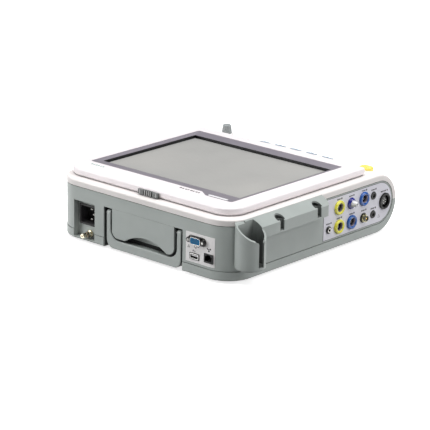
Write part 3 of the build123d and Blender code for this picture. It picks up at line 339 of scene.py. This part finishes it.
CAD_FINISH = {
    BODY_GREY: ("bottom_case", "mid_case", "battery_cover", "handle_panel", "carry_handle",
                "drawer_front"),
    HOLDER_GREY: ("probe_holder",),
    COVER_WHITE: ("top_case", "paper_drawer"),
    LID_WHITE: ("lid_front", "lid_back"),
    BEZEL: ("bezel_frame",),
    GLASS: ("lcd_panel",),
    PANEL: ("socket_plate",),
    PLATE: ("connector_plate",),
    BLACK: ("network_port", "usb_port", "temperature_jacks", "ecg_socket", "marker_jack", "recorder_motor",
            "speaker", "cuff_pump", "print_head", "knob_encoder", "encoder_plunger"),
    YELLOW: ("ultrasound_socket_1", "ultrasound_socket_2"),
    BLUE: ("contraction_socket", "oximeter_socket"),
    NAVY: ("cuff_socket",),
    CLEAR: ("cuff_nozzle",),
    STEEL: ("case_screws", "handle_pins", "hinge_pins"),
    STUD_PLATE: ("equipotential_stud",),
    INLET: ("mains_inlet",),
    BLADE: ("vga_port",),
    RECEPTACLE: ("metal_socket",),
    ALU: ("chassis_plate", "power_supply"),
    BOARD: ("key_board", "display_board", "main_board", "parameter_board"),
    FOOT: ("rubber_feet",),
    ROLLER: ("platen_roller",),
    PAPER: ("paper_pack",),
    KEY: tuple(f"key_{n}" for n in range(1, 6)),
    KNOB: ("knob",),
    LAMP: ("alarm_lens",),
    LENS: ("indicator_lenses",),
    LATCH: ("latch_slider",),
    BATTERY: ("battery_pack",),
}


def dress_frame():
    """Gives every CAD node its finish."""
    left = set(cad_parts)
    for mat, names in CAD_FINISH.items():
        for name in names:
            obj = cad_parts[name]
            obj.data.materials.clear()
            obj.data.materials.append(mat)
            left.discard(name)
    if left:
        raise ValueError(f"nodes with no finish: {sorted(left)}")


dress_frame()


# ---- Mesh code ----

def ring_of(points, w, h, r, steps=5):
    """Outline of a rounded rectangle about the origin, appended to points."""
    for sx, sy, start in ((1, 1, 0), (-1, 1, 90), (-1, -1, 180), (1, -1, 270)):
        for k in range(steps + 1):
            a = math.radians(start + 90 * k / steps)
            points.append((sx * (w / 2 - r) + r * math.cos(a), sy * (h / 2 - r) + r * math.sin(a)))
    return points


def rounded(u, v, w, h, r):
    """Rounded rectangle with its middle at u, v."""
    return [(u + a, v + b) for a, b in ring_of([], w, h, r)]


def polygon(u, v, r, count, turn=0.0):
    """Regular outline with its middle at u, v."""
    return [(u + r * math.cos(turn + math.tau * k / count), v + r * math.sin(turn + math.tau * k / count))
            for k in range(count)]


def triangle(u, v, r):
    """Triangle with one corner up."""
    return polygon(u, v, r, 3, math.pi / 2)


def place(axis, along, u, v):
    """Point from a distance along an axis and two coordinates across it, taken in the order x, y, z."""
    return {"x": (along, u, v), "y": (u, along, v), "z": (u, v, along)}[axis]


class Shape:
    """Mesh in millimetres that is put together from outlines and turned profiles."""

    def __init__(self):
        self.bm = bmesh.new()

    def loop(self, axis, along, outline):
        return [self.bm.verts.new([c * MM for c in place(axis, along, u, v)]) for u, v in outline]

    def skin(self, a, b):
        for k in range(len(a)):
            n = (k + 1) % len(a)
            self.bm.faces.new((a[k], a[n], b[n], b[k]))

    def prism(self, axis, outline, start, end, top=None):
        """Outline drawn out along an axis. The far end may have an outline of its own."""
        a, b = self.loop(axis, start, outline), self.loop(axis, end, top or outline)
        self.skin(a, b)
        self.bm.faces.new(a)
        self.bm.faces.new(b)
        return self

    def band(self, axis, outer, inner, start, end):
        """Prism between two outlines that have the same number of points."""
        loops = [self.loop(axis, start, outer), self.loop(axis, end, outer),
                 self.loop(axis, end, inner), self.loop(axis, start, inner)]
        for k in range(4):
            self.skin(loops[k], loops[(k + 1) % 4])
        return self

    def box(self, x0, x1, y0, y1, z0, z1):
        return self.prism("z", [(x0, y0), (x1, y0), (x1, y1), (x0, y1)], z0, z1)

    def turned(self, axis, u, v, profile, count=40):
        """Closed profile of (along, radius) points turned about an axis."""
        loops = []
        for along, r in profile:
            if r > 0:
                loops.append(self.loop(axis, along, polygon(u, v, r, count)))
            else:
                loops.append([self.bm.verts.new([c * MM for c in place(axis, along, u, v)])])
        for k in range(len(loops)):
            a, b = loops[k], loops[(k + 1) % len(loops)]
            if len(a) == count and len(b) == count:
                self.skin(a, b)
            elif len(a) == count:
                for i in range(count):
                    self.bm.faces.new((a[i], a[(i + 1) % count], b[0]))
            elif len(b) == count:
                for i in range(count):
                    self.bm.faces.new((b[(i + 1) % count], b[i], a[0]))
        return self

    def finish(self, name, mat, slot, body="base", soft=0.0):
        """Makes the piece, with softened edges, and hangs it on its body."""
        bmesh.ops.recalc_face_normals(self.bm, faces=self.bm.faces)
        mesh = bpy.data.meshes.new(name)
        self.bm.to_mesh(mesh)
        self.bm.free()
        for face in mesh.polygons:
            face.use_smooth = True
        mesh.set_sharp_from_angle(angle=math.radians(35))
        mesh.materials.append(mat)
        obj = bpy.data.objects.new(name, mesh)
        scene.collection.objects.link(obj)
        if soft:
            bevel = obj.modifiers.new("soft_edges", "BEVEL")
            bevel.width = soft * MM
            bevel.segments = 2
            bevel.limit_method = "ANGLE"
            bevel.angle_limit = math.radians(40)
        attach(obj, body)
        return obj


# ---- Where things are, in millimetres, as the CAD has them ----

PANEL_X = -142.5        # outer face of the socket panel
REAR_Y = 174.9
SCREEN = (26.5, 13.5)
YELLOW_AT = ((-43.5, 59.5), (-44.0, 33.0))
BLUE_AT = ((-71.1, 33.2), (-97.0, 60.1))
CUFF_AT = (-69.5, 59.8)
METAL_AT = (-97.1, 33.2)
JACKS_AT = ((-118.0, 60.0), (-118.1, 33.5))
ECG_AT = (-143.2, 47.0)
MARKER_AT = (-22.0, 33.0)
KNOB_AT = (144.5, -141.5)
VIDEO_AT = (-85.6, 51.2)
SERIAL_AT = (-80.8, 28.9)
NETWORK_AT = (-105.0, 31.4)
INLET_AT = (119.2, 38.2)
STUD_AT = (115.3, 12.8)
BAY_Y = 165.9           # back wall of the mains bay
STRIP_AT = (-78.5, 128.0)
PANEL_PRINT = (PANEL_X - 0.04, PANEL_X + 0.1)
REAR_PRINT = (REAR_Y - 0.45, REAR_Y - 0.27)
KEYS_X = tuple(78.5 - 28.75 * k for k in range(5))
KEY_Y = -150.0


# ---- Display ----

def screen_trim():
    """Black liner and border round the glass, and the blank strip on the surround's tab, with its edge."""
    x, y = SCREEN
    outer, inner = rounded(x, y, 247.9, 186.9, 0.3), rounded(x, y, 246.9, 185.9, 0.3)
    Shape().band("z", outer, inner, 91.82, 95.35).finish("window_liner", BLACK, "black_plastic", "display")
    outer, inner = rounded(x, y, 247.2, 186.2, 0.3), rounded(x, y, 243.6, 182.0, 0.8)
    Shape().band("z", outer, inner, 91.81, 91.92).finish("glass_border", BLACK, "black_plastic", "display")
    outer, inner = rounded(*STRIP_AT, 35.0, 5.8, 2.7), rounded(*STRIP_AT, 34.0, 4.8, 2.3)
    Shape().prism("z", inner, 97.1, 97.32).finish("blank_strip", BLANK, "white_plastic", "display", 0.06)
    edge = Shape().band("z", outer, inner, 97.1, 97.28)
    edge.finish("blank_strip_edge", BLACK, "black_plastic", "display")


def lid_print():
    """Plain dashes on the lid's rear rail, where such a monitor has its words."""
    rows = (("lid_marks_dark", INK, -14.0, 4.6, 130.6, (3.4, 2.6, 3.2, 2.2, 3.4, 2.4, 3.2, 2.8)),
            ("lid_marks_green", GREEN_INK, 146.6, 4.2, 133.2, (3.0, 2.4, 3.0, 2.6, 2.2, 2.8)))
    for name, ink, right, pitch, y, widths in rows:
        marks = Shape()
        for k, w in enumerate(widths):
            marks.prism("z", rounded(right - pitch * k - w / 2, y, w, 3.2, 0.5), 97.35, 97.53)
        marks.finish(name, ink, "black_plastic", "display")


def latch_ribs():
    """Pale crests on the latch's ribs and end pads: painted highlight on the ribs."""
    ribs = Shape()
    for k in range(4):
        x = -6.5 + 11.6 + 3.4 * k
        ribs.prism("y", rounded(x + 0.9, 91.15, 1.1, 6.4, 0.4), 166.1, 166.34)
    for x in (-3.2, 25.2):
        ribs.prism("y", rounded(x, 91.15, 1.0, 5.2, 0.4), 165.7, 165.94)
    ribs.finish("latch_rib_crests", RIB, "grey_plastic", "latch", 0.08)


# ---- Left side ----

def ring_inserts():
    """Inserts with keys and contacts inside the four coloured receptacles: black cores, and sleeves whose
    mauve-grey is painted reflection in the bores.
    """
    p = PANEL_X
    for n, (y, z) in enumerate(YELLOW_AT + BLUE_AT, 1):
        sleeve = Shape().turned("x", y, z, (
            (p - 2.0, 5.9), (p - 2.1, 5.5), (p - 1.0, 4.85),
            (p + 7.0, 4.7), (p + 7.0, 5.15), (p - 0.95, 5.15)))
        for a in (90, 210, 330):
            c, s = math.cos(math.radians(a)), math.sin(math.radians(a))
            sleeve.prism("x", rounded(y + 4.4 * c, z + 4.4 * s, 1.1, 1.1, 0.3), p + 0.2, p + 6.5)
        sleeve.finish(f"ring_sleeve_{n}", SLEEVE, "black_plastic", soft=0.12)
        core = Shape().turned("x", y, z, (
            (p + 9.0, 0), (p + 9.0, 4.6), (p + 6.0, 4.6), (p + 5.6, 2.6),
            (p + 1.6, 2.4), (p + 1.1, 2.0), (p + 1.3, 0)))
        core.finish(f"ring_core_{n}", BLACK, "black_plastic")
        pins = Shape()
        for k in range(5):
            a = math.radians(72 * k + 18)
            pins.turned("x", y + 1.2 * math.cos(a), z + 1.2 * math.sin(a), (
                (p + 2.0, 0), (p + 2.0, 0.32), (p + 0.5, 0.32), (p + 0.3, 0.2), (p + 0.3, 0)), 10)
        pins.finish(f"ring_pins_{n}", STEEL, "steel")


def ecg_details():
    """Inner shell, core and seven contacts of the large round receptacle."""
    p = PANEL_X
    y, z = ECG_AT
    shell = Shape().turned("x", y, z, (
        (p - 1.5, 8.35), (p - 1.6, 8.2), (p - 1.5, 8.0), (p + 6.5, 7.9), (p + 6.5, 8.35)), 56)
    shell.prism("x", rounded(y, z + 7.0, 2.2, 1.3, 0.3), p - 1.0, p + 6.0)
    shell.finish("ecg_shell", BLACK, "black_plastic", soft=0.1)
    face = Shape().turned("x", y, z, (
        (p + 1.6, 0), (p + 1.6, 5.9), (p + 0.7, 5.9), (p + 0.5, 5.7),
        (p + 0.5, 5.2), (p + 1.1, 5.0), (p + 1.1, 0)), 48)
    face.finish("ecg_face", CORE, "black_plastic")
    contacts = Shape()
    for at_y, at_z in polygon(y, z, 3.1, 6, math.radians(30)) + [(y, z)]:
        contacts.turned("x", at_y, at_z, (
            (p + 1.2, 0.85), (p + 0.3, 0.85), (p + 0.2, 0.7), (p + 0.3, 0.5), (p + 1.2, 0.5)), 16)
    contacts.finish("ecg_contacts", STEEL, "steel")


def small_jacks():
    """Metal lips, springs and insulators of the marker jack, the probe jacks and the metal receptacle."""
    p = PANEL_X
    y, z = MARKER_AT
    lip = Shape().turned("x", y, z, (
        (p - 1.4, 2.3), (p - 1.4, 3.1), (p - 2.4, 3.1), (p - 2.6, 2.9), (p - 2.6, 2.6), (p - 2.4, 2.3)), 32)
    lip.finish("marker_lip", BRIGHT, "steel")
    spring = Shape()
    for y, z in JACKS_AT:
        spring.turned("x", y, z, (
            (p + 1.0, 2.38), (p + 0.8, 2.2), (p + 1.0, 2.0), (p + 6.0, 2.0), (p + 6.0, 2.38)), 28)
    spring.finish("jack_springs", BLADE, "steel")
    y, z = METAL_AT
    washer = Shape().turned("x", y, z, (
        (p - 0.02, 6.9), (p - 0.4, 7.0), (p - 0.7, 6.8), (p - 0.7, 5.9), (p - 0.02, 5.9)), 40)
    washer.finish("metal_socket_washer", BLACK, "black_plastic")
    filler = Shape().turned("x", y, z, (
        (p + 3.8, 3.15), (p - 5.4, 3.15), (p - 5.7, 2.8),
        (p - 5.7, 1.7), (p - 4.6, 1.1), (p + 3.8, 1.1)), 36)
    filler.finish("metal_socket_filler", BLACK, "black_plastic")
    pin = Shape().turned("x", y, z, (
        (p - 3.0, 1.04), (p - 5.6, 1.04), (p - 5.9, 0.8), (p - 5.9, 0), (p - 3.0, 0)), 20)
    pin.finish("metal_socket_pin", GOLD, "steel")
    ring = Shape().turned("x", y, z, (
        (p - 1.8, 4.15), (p - 2.0, 4.9), (p - 2.7, 4.9), (p - 2.9, 4.1)), 36)
    for dz in (-1, 1):
        ring.prism("x", rounded(y, z + dz * 4.6, 1.6, 1.5, 0.5), p - 5.4, p - 4.0)
    ring.finish("metal_socket_ring", BRASS, "steel", soft=0.1)
    knurl = Shape()
    for at_y, at_z in polygon(y, z, 5.2, 10):
        knurl.prism("x", rounded(at_y, at_z, 1.3, 1.3, 0.4), p - 2.1, p - 1.5)
    knurl.finish("metal_socket_nut", CORE, "black_plastic", soft=0.1)


def nozzle_rim():
    """White collar at the tip of the cuff nozzle."""
    p = PANEL_X
    y, z = CUFF_AT
    collar = Shape().turned("x", y, z, (
        (p - 3.5, 4.5), (p - 3.7, 4.8), (p - 4.5, 4.8), (p - 4.8, 4.45), (p - 3.5, 4.3)), 36)
    collar.finish("nozzle_collar", BLANK, "white_plastic")


def strokes(shape, axis, marks, start, end):
    """Rows of short rounded dashes: (u, v, width, height) each."""
    for u, v, w, h in marks:
        shape.prism(axis, rounded(u, v, w, h, min(w, h) * 0.35), start, end)
    return shape


def panel_print():
    """Printed marks on the socket panel: dashes in place of words, and plain signs."""
    marks = Shape()
    above = [(y, z, 11.6) for y, z in YELLOW_AT + BLUE_AT] + [(*CUFF_AT, 10.4), (*METAL_AT, 10.4)]
    above += [(y, z, 8.4) for y, z in JACKS_AT] + [(*MARKER_AT, 8.4)]
    for y, z, lift in above:
        top = z + lift
        dashes = ((y + 3.6, top, 2.6, 1.9), (y + 0.9, top, 2.2, 1.9), (y - 1.6, top, 2.3, 1.9))
        strokes(marks, "x", dashes, *PANEL_PRINT)
        marks.prism("x", polygon(y - 5.2, top + 0.1, 1.5, 6), *PANEL_PRINT)
    y, z = ECG_AT[0], ECG_AT[1] + 14.6
    strokes(marks, "x", [(y + 7.5 - 2.9 * k, z, 2.4, 1.9) for k in range(4)], *PANEL_PRINT)
    marks.prism("x", polygon(y - 5.6, z + 0.1, 1.3, 6), *PANEL_PRINT)
    marks.band("x", triangle(-132.0, 27.5, 3.0), triangle(-132.0, 27.5, 2.2), *PANEL_PRINT)
    marks.finish("panel_marks", INK, "black_plastic")


def panel_edge():
    """Dark ring in the narrow joint round the socket panel: painted shadow of the joint."""
    r, nose, mid, front = 30.75, -161.8, 47.15, -11.5
    outline = []
    for gap in (3.0, 2.5):
        arc, points = r - gap, []
        for k in range(49):
            a = math.radians(90 + 180 * k / 48)
            points.append((nose + r + arc * math.cos(a), mid + arc * math.sin(a)))
        shift = 3.0 - gap
        points += [(front + shift, mid - arc), (front + shift, mid + arc)]
        outline.append(points)
    Shape().band("x", outline[1], outline[0], -142.34, -142.2).finish("panel_joint_shadow", INK, "black_plastic")


# ---- Rear ----

def vga_details():
    """Dark surround, blue face with dark dots painted as the shade of its pin holes, bright shell and screw
    posts of the video port.
    """
    x, z, y = *VIDEO_AT, REAR_Y
    outer, inner = rounded(x, z, 30.9, 11.5, 5.6), rounded(x, z, 29.3, 9.9, 4.9)
    ring = Shape().band("y", outer, inner, y + 0.45, y + 0.8)
    ring.finish("vga_surround", BLACK, "black_plastic", soft=0.08)
    outer, inner = rounded(x, z, 18.4, 10.0, 2.8), rounded(x, z, 17.3, 8.9, 2.4)
    lip = Shape().band("y", outer, inner, y + 0.7, y + 3.9)
    lip.finish("vga_lip", BLACK, "black_plastic", soft=0.1)
    outer, inner = rounded(x, z, 17.4, 9.0, 2.5), rounded(x, z, 16.6, 8.2, 2.2)
    shell = Shape().band("y", outer, inner, y + 0.6, y + 5.0)
    shell.finish("vga_shell", BRIGHT, "steel", soft=0.1)
    face = Shape().prism("y", inner, y + 4.4, y + 4.75)
    face.finish("vga_face", VGA_BLUE, "blue_plastic", soft=0.06)
    # Painted shade: dark dots where the pin holes are.
    holes = Shape()
    for row, shift in ((2.0, 0.0), (0.0, 1.1), (-2.0, 0.0)):
        for k in range(5):
            u = x - 4.95 + 2.2 * k + shift
            holes.turned("y", u, z + row, ((y + 4.7, 0.55), (y + 4.8, 0.5), (y + 4.8, 0), (y + 4.7, 0)), 12)
    holes.finish("vga_hole_shade", INK, "black_plastic")
    posts, bores = Shape(), Shape()
    for dx in (-12.3, 12.3):
        posts.turned("y", x + dx, z, (
            (y + 0.6, 3.7), (y + 4.4, 3.7), (y + 4.75, 3.3), (y + 4.75, 1.7), (y + 0.6, 1.7)), 6)
        bores.turned("y", x + dx, z, (
            (y + 4.3, 1.5), (y + 4.85, 1.4), (y + 4.85, 0.9), (y + 4.3, 0.9)), 18)
    posts.finish("vga_posts", BLACK, "black_plastic")
    bores.finish("vga_nut_centres", STEEL, "steel")


def usb_details():
    """White tongue with its contacts, bright rim, and a dark block and lining deep in the serial port as
    painted shade.
    """
    x, z, y = *SERIAL_AT, REAR_Y
    tongue = Shape().box(x - 5.7, x + 5.7, y - 4.9, y - 0.6, z - 0.3, z + 1.7)
    tongue.finish("usb_tongue", BLANK, "black_plastic", soft=0.15)
    # Painted shade: dark block and lining in the depth of the port.
    depth = Shape().prism("y", rounded(x, z, 12.5, 5.3, 0.4), y - 11.9, y - 5.0)
    depth.band("y", rounded(x, z, 12.56, 5.36, 0.4), rounded(x, z, 12.1, 4.9, 0.3), y - 5.0, y - 0.1)
    depth.finish("usb_painted_shade", BLACK, "black_plastic")
    contacts = Shape()
    for k in range(4):
        u = x - 3.75 + 2.5 * k
        contacts.box(u - 0.5, u + 0.5, y - 4.8, y - 1.0, z - 0.4, z - 0.25)
    contacts.finish("usb_contacts", GOLD, "steel")
    middle, inner = rounded(x, z, 14.3, 7.1, 0.8), rounded(x, z, 12.9, 5.7, 0.5)
    rim = Shape().band("y", middle, inner, y + 0.1, y + 0.75)
    rim.finish("usb_rim", STEEL, "steel", soft=0.15)
    edge = Shape().band("y", rounded(x, z, 16.6, 9.0, 1.4), middle, y - 0.35, y + 0.6)
    edge.finish("usb_edge", BLACK, "black_plastic", soft=0.08)


def network_details():
    """Eight spring contacts and the raised edge of the network port."""
    x, z, y = *NETWORK_AT, REAR_Y
    contacts = Shape()
    for k in range(8):
        u = x - 3.57 + 1.02 * k
        wire = [(y - 3.2, z - 3.9), (y - 2.9, z - 3.9), (y - 9.0, z + 0.2), (y - 9.6, z)]
        contacts.prism("x", wire, u - 0.22, u + 0.22)
    contacts.finish("network_contacts", BLADE, "steel")
    outer, inner = rounded(x, z, 15.2, 12.4, 0.7), rounded(x, z, 14.0, 11.2, 0.5)
    rim = Shape().band("y", outer, inner, y - 0.4, y + 0.45)
    rim.finish("network_rim", BLACK, "black_plastic", soft=0.1)


def rear_print():
    """Plain signs beside the rear ports."""
    marks = Shape()
    marks.band("y", triangle(-70.4, 40.3, 2.5), triangle(-70.4, 40.3, 1.5), *REAR_PRINT)
    marks.band("y", rounded(-82.6, 42.6, 4.6, 3.6, 0.5), rounded(-82.6, 42.6, 3.4, 2.4, 0.3), *REAR_PRINT)
    strokes(marks, "y", ((-87.0, 42.3, 2.4, 1.1), (-82.6, 40.2, 2.4, 0.8), (-79.8, 36.0, 5.2, 0.7),
                         (-78.6, 37.0, 1.2, 1.2), (-81.6, 35.0, 1.2, 1.2)), *REAR_PRINT)
    strokes(marks, "y", ((-103.0, 44.4, 2.4, 1.9), (-107.6, 44.4, 2.4, 1.9), (-105.3, 41.2, 2.8, 1.9),
                         (-105.3, 43.0, 0.8, 2.6), (-105.3, 43.4, 4.8, 0.8)), *REAR_PRINT)
    marks.finish("rear_marks", INK, "black_plastic")


def inlet_details():
    """Plated blades and the moulded lead-in of the mains inlet, with a black floor block deep in it as
    painted shade.
    """
    x, z, y = *INLET_AT, BAY_Y
    blades = Shape()
    for dx, dz in ((-5, 0), (-1, 7), (-1, -7)):
        base, tip = rounded(x + dx, z + dz, 4.2, 2.2, 0.3), rounded(x + dx, z + dz, 3.2, 1.2, 0.3)
        blades.prism("y", base, y - 15, y - 5.4)
        blades.prism("y", base, y - 5.4, y - 4.4, tip)
    blades.finish("inlet_blades", BLADE, "steel", soft=0.1)
    outer, inner = rounded(x, z, 31.2, 28.2, 2.1), rounded(x, z, 26.7, 23.7, 1.6)
    lead = Shape().band("y", outer, inner, y + 1.4, y + 1.9)
    lead.finish("inlet_rim", BLACK, "black_plastic", soft=0.2)
    # Painted shade: black floor block deep in the socket.
    floor_of = Shape().prism("y", rounded(x, z, 26.4, 23.4, 1.5), y - 14.9, y - 13.2)
    floor_of.finish("inlet_painted_shade", BLACK, "black_plastic", soft=0.3)


def stud_details():
    """Bronze washer and pale tip ring of the earthing stud."""
    x, z, y = *STUD_AT, BAY_Y
    brass = Shape().turned("y", x, z, (
        (y + 6.4, 2.2), (y + 6.4, 3.9), (y + 7.0, 4.1), (y + 7.9, 3.9), (y + 8.2, 3.2), (y + 8.2, 2.2)), 28)
    brass.finish("stud_washer", STUD_BRONZE, "steel")
    tip = Shape().turned("y", x, z, (
        (182.2, 1.25), (182.2, 2.2), (182.75, 2.15), (182.75, 1.25)), 28)
    tip.finish("stud_tip_ring", BLANK, "white_plastic")


def pocket_shade():
    """Dark strips at the back and ends of the gap round the folded handle: painted shadow, where the gap is
    in shade.
    """
    x0, x1, z0, z1 = -59.4, 82.4, 4.6, 59.8
    px0, px1, pz = -44.6, 67.6, 20.6
    outer = [(x0, z1), (x0, z0), (x1, z0), (x1, z1)]
    inner = [(px0, z1), (px0, pz), (px1, pz), (px1, z1)]
    shade_strips = Shape()
    for k in range(3):
        shade_strips.prism("y", [outer[k], outer[k + 1], inner[k + 1], inner[k]], 160.95, 161.2)
    for x in (x0 - 0.1, x1 + 0.1):
        shade_strips.prism("z", rounded(x, 166.6, 0.16, 11.2, 0.05), z0 + 1.0, z1 - 0.4)
    shade_strips.finish("pocket_shadow_strips", POCKET_SHADE, "black_plastic")


# ---- Controls ----

def knob_details():
    """Cap with a finger dimple on the knob, paler than the knob as painted light on its top, and the collar
    that it turns in.
    """
    x, y = KNOB_AT
    cap = Shape().turned("z", x, y, (
        (99.6, 0), (99.6, 5.1), (100.2, 5.1), (100.38, 4.8), (100.3, 4.2), (100.0, 2.4), (99.9, 0)), 44)
    cap.finish("knob_cap", CAP, "white_plastic", "knob")
    collar = Shape().turned("z", x, y, (
        (86.45, 8.0), (86.45, 10.6), (86.9, 10.4), (87.2, 9.9), (87.25, 8.6), (87.0, 8.0)), 52)
    collar.finish("knob_collar", COVER_WHITE, "white_plastic")


def key_marks():
    """A plain sign on each key: triangle, ring, two bars, three lines and a square."""
    for n, x in enumerate(KEYS_X, 1):
        y = KEY_Y + 1.0
        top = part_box(f"key_{n}")[1][2] / MM
        span = top - 1.2, top + 0.03
        marks = Shape()
        if n == 1:
            marks.prism("z", triangle(x, y, 1.5), *span)
        elif n == 2:
            marks.band("z", polygon(x, y, 1.7, 20), polygon(x, y, 1.2, 20), *span)
        elif n == 3:
            strokes(marks, "z", [(x + dx, y, 0.8, 2.8) for dx in (-0.9, 0.9)], *span)
        elif n == 4:
            strokes(marks, "z", [(x, KEY_Y + dy, 3.2, 0.6) for dy in (1.8, 0.8, -0.2)], *span)
        else:
            marks.band("z", rounded(x, y, 3.0, 2.6, 0.5), rounded(x, y, 2.1, 1.7, 0.3), *span)
        marks.finish(f"key_mark_{n}", PALE_INK, "key_plastic", f"key_{n}")


# ---- Underside and lid back ----

def screw_head(shape, x, y, z, r):
    """Low domed head that hangs from the plane at height z."""
    shape.turned("z", x, y, (
        (z, 0), (z, r), (z - 0.5, r * 0.96), (z - 0.9, r * 0.6), (z - 0.95, 0)), 24)


def underside():
    """Threaded brass inserts of the trolley mount, a blank rating plate and the battery door's screws."""
    inserts = Shape()
    for x in (-34.15, 65.85):
        for y in (-50.0, 50.0):
            inserts.turned("z", x, y, ((4.1, 2.05), (4.0, 1.95), (4.1, 1.7), (11.0, 1.7), (11.0, 2.05)), 24)
    inserts.finish("trolley_inserts", GOLD, "steel")
    plate = Shape().prism("z", rounded(112.0, 84.0, 60.0, 34.0, 3.0), 3.85, 4.02)
    plate.finish("blank_rating_plate", PLATE, "plate_grey", soft=0.05)
    screws = Shape()
    for x in (-22.0, 62.0):
        screw_head(screws, x, 134.0, 4.15, 2.6)
    screws.finish("battery_door_screws", STEEL, "steel")


def lid_back_details():
    """Screws on the back of the display."""
    screws = Shape()
    for x in (-118.0, 26.5, 156.0):
        screw_head(screws, x, 148.0, 87.22, 2.4)
    for x in (-96.0, 149.0):
        for y in (-60.0, 60.0):
            screw_head(screws, x, y, 80.52, 2.4)
    screws.finish("lid_back_screws", STEEL, "steel", "display")


screen_trim()
lid_print()
latch_ribs()
ring_inserts()
ecg_details()
small_jacks()
nozzle_rim()
panel_print()
panel_edge()
vga_details()
usb_details()
network_details()
rear_print()
inlet_details()
stud_details()
pocket_shade()
knob_details()
key_marks()
underside()
lid_back_details()


# ---- Set, lights and camera ----

FLOOR_SIZE = 14.0       # half its width, in metres
FLOOR_GLOW = 0.7
WORLD_LIGHT = 0.16
LIGHTS = (              # name, place, target, size in metres, watts
    ("overhead", (-0.2, 0.2, 2.2), (0, 0, 0.05), (2.4, 2.4), 60),
    ("left_side", (-1.9, -1.2, 0.8), (-0.1, 0, 0.05), (0.9, 1.1), 20),
    ("rear_side", (1.5, 1.6, 0.8), (0, 0.1, 0.05), (0.9, 1.1), 24),
    ("front", (0.6, -2.2, 0.9), (0, 0, 0.05), (1.4, 1.0), 10),
)
CAMERA_AZIMUTH, CAMERA_ELEVATION, CAMERA_ROLL = 221.478, 17.552, 0.968
CAMERA_DISTANCE, CAMERA_LENS = 2.813, 176.65
CAMERA_TARGET = (-0.021089, 0.068691, 0.047309)


def floor():
    """Wide pale floor."""
    bm = bmesh.new()
    bmesh.ops.create_grid(bm, x_segments=8, y_segments=8, size=FLOOR_SIZE)
    mesh = bpy.data.meshes.new("floor")
    bm.to_mesh(mesh)
    bm.free()
    obj = bpy.data.objects.new("floor", mesh)
    scene.collection.objects.link(obj)
    f = Finish("floor_pale", Specular_IOR_Level=0.2)
    cloud = f.span(f.noise(2), 0.3, 0.7, 0.0, 1.0)
    f.plug(f.shader, "Base Color", f.blend(cloud, (0.93, 0.93, 0.93, 1), (0.92, 0.92, 0.92, 1)))
    f.plug(f.shader, "Roughness", f.span(f.noise(30), 0.3, 0.7, 0.8, 0.9))
    mesh.materials.append(f.mat)
    f.shader.inputs["Emission Color"].default_value = (1, 1, 1, 1)
    f.shader.inputs["Emission Strength"].default_value = FLOOR_GLOW
    obj.visible_diffuse = False


def softbox(name, at, target, size, power):
    """Rectangular light that faces its target."""
    light = bpy.data.lights.new(name, "AREA")
    light.shape = "RECTANGLE"
    light.size, light.size_y = size
    light.energy = power
    obj = bpy.data.objects.new(name, light)
    obj.location = at
    obj.rotation_euler = (Vector(target) - Vector(at)).to_track_quat("-Z", "Y").to_euler()
    scene.collection.objects.link(obj)


def studio():
    """Soft white light from four sides and a weak white sky."""
    world = bpy.data.worlds.new("studio")
    scene.world = world
    world.use_nodes = True
    back = world.node_tree.nodes["Background"]
    back.inputs["Color"].default_value = (1.0, 1.0, 1.0, 1)
    back.inputs["Strength"].default_value = WORLD_LIGHT
    for row in LIGHTS:
        softbox(*row)
    scene.view_settings.view_transform = "Standard"


def camera():
    """Stands behind the left rear corner, a little above the lid."""
    azimuth, elevation, roll = (math.radians(a) for a in (CAMERA_AZIMUTH, CAMERA_ELEVATION, CAMERA_ROLL))
    level = math.cos(elevation)
    back = Vector((math.sin(azimuth) * level, -math.cos(azimuth) * level, math.sin(elevation)))
    right = Vector((math.cos(azimuth), math.sin(azimuth), 0))
    up = back.cross(right)
    turned_right = right * math.cos(roll) + up * math.sin(roll)
    turned_up = up * math.cos(roll) - right * math.sin(roll)
    data = bpy.data.cameras.new("camera")
    data.sensor_width = 36.0
    data.lens = CAMERA_LENS
    data.clip_end = 60.0
    obj = bpy.data.objects.new("camera", data)
    rotation = Matrix((turned_right, turned_up, back)).transposed().to_4x4()
    obj.matrix_world = Matrix.Translation(Vector(CAMERA_TARGET) + back * CAMERA_DISTANCE) @ rotation
    scene.collection.objects.link(obj)
    scene.camera = obj


floor()
studio()
camera()
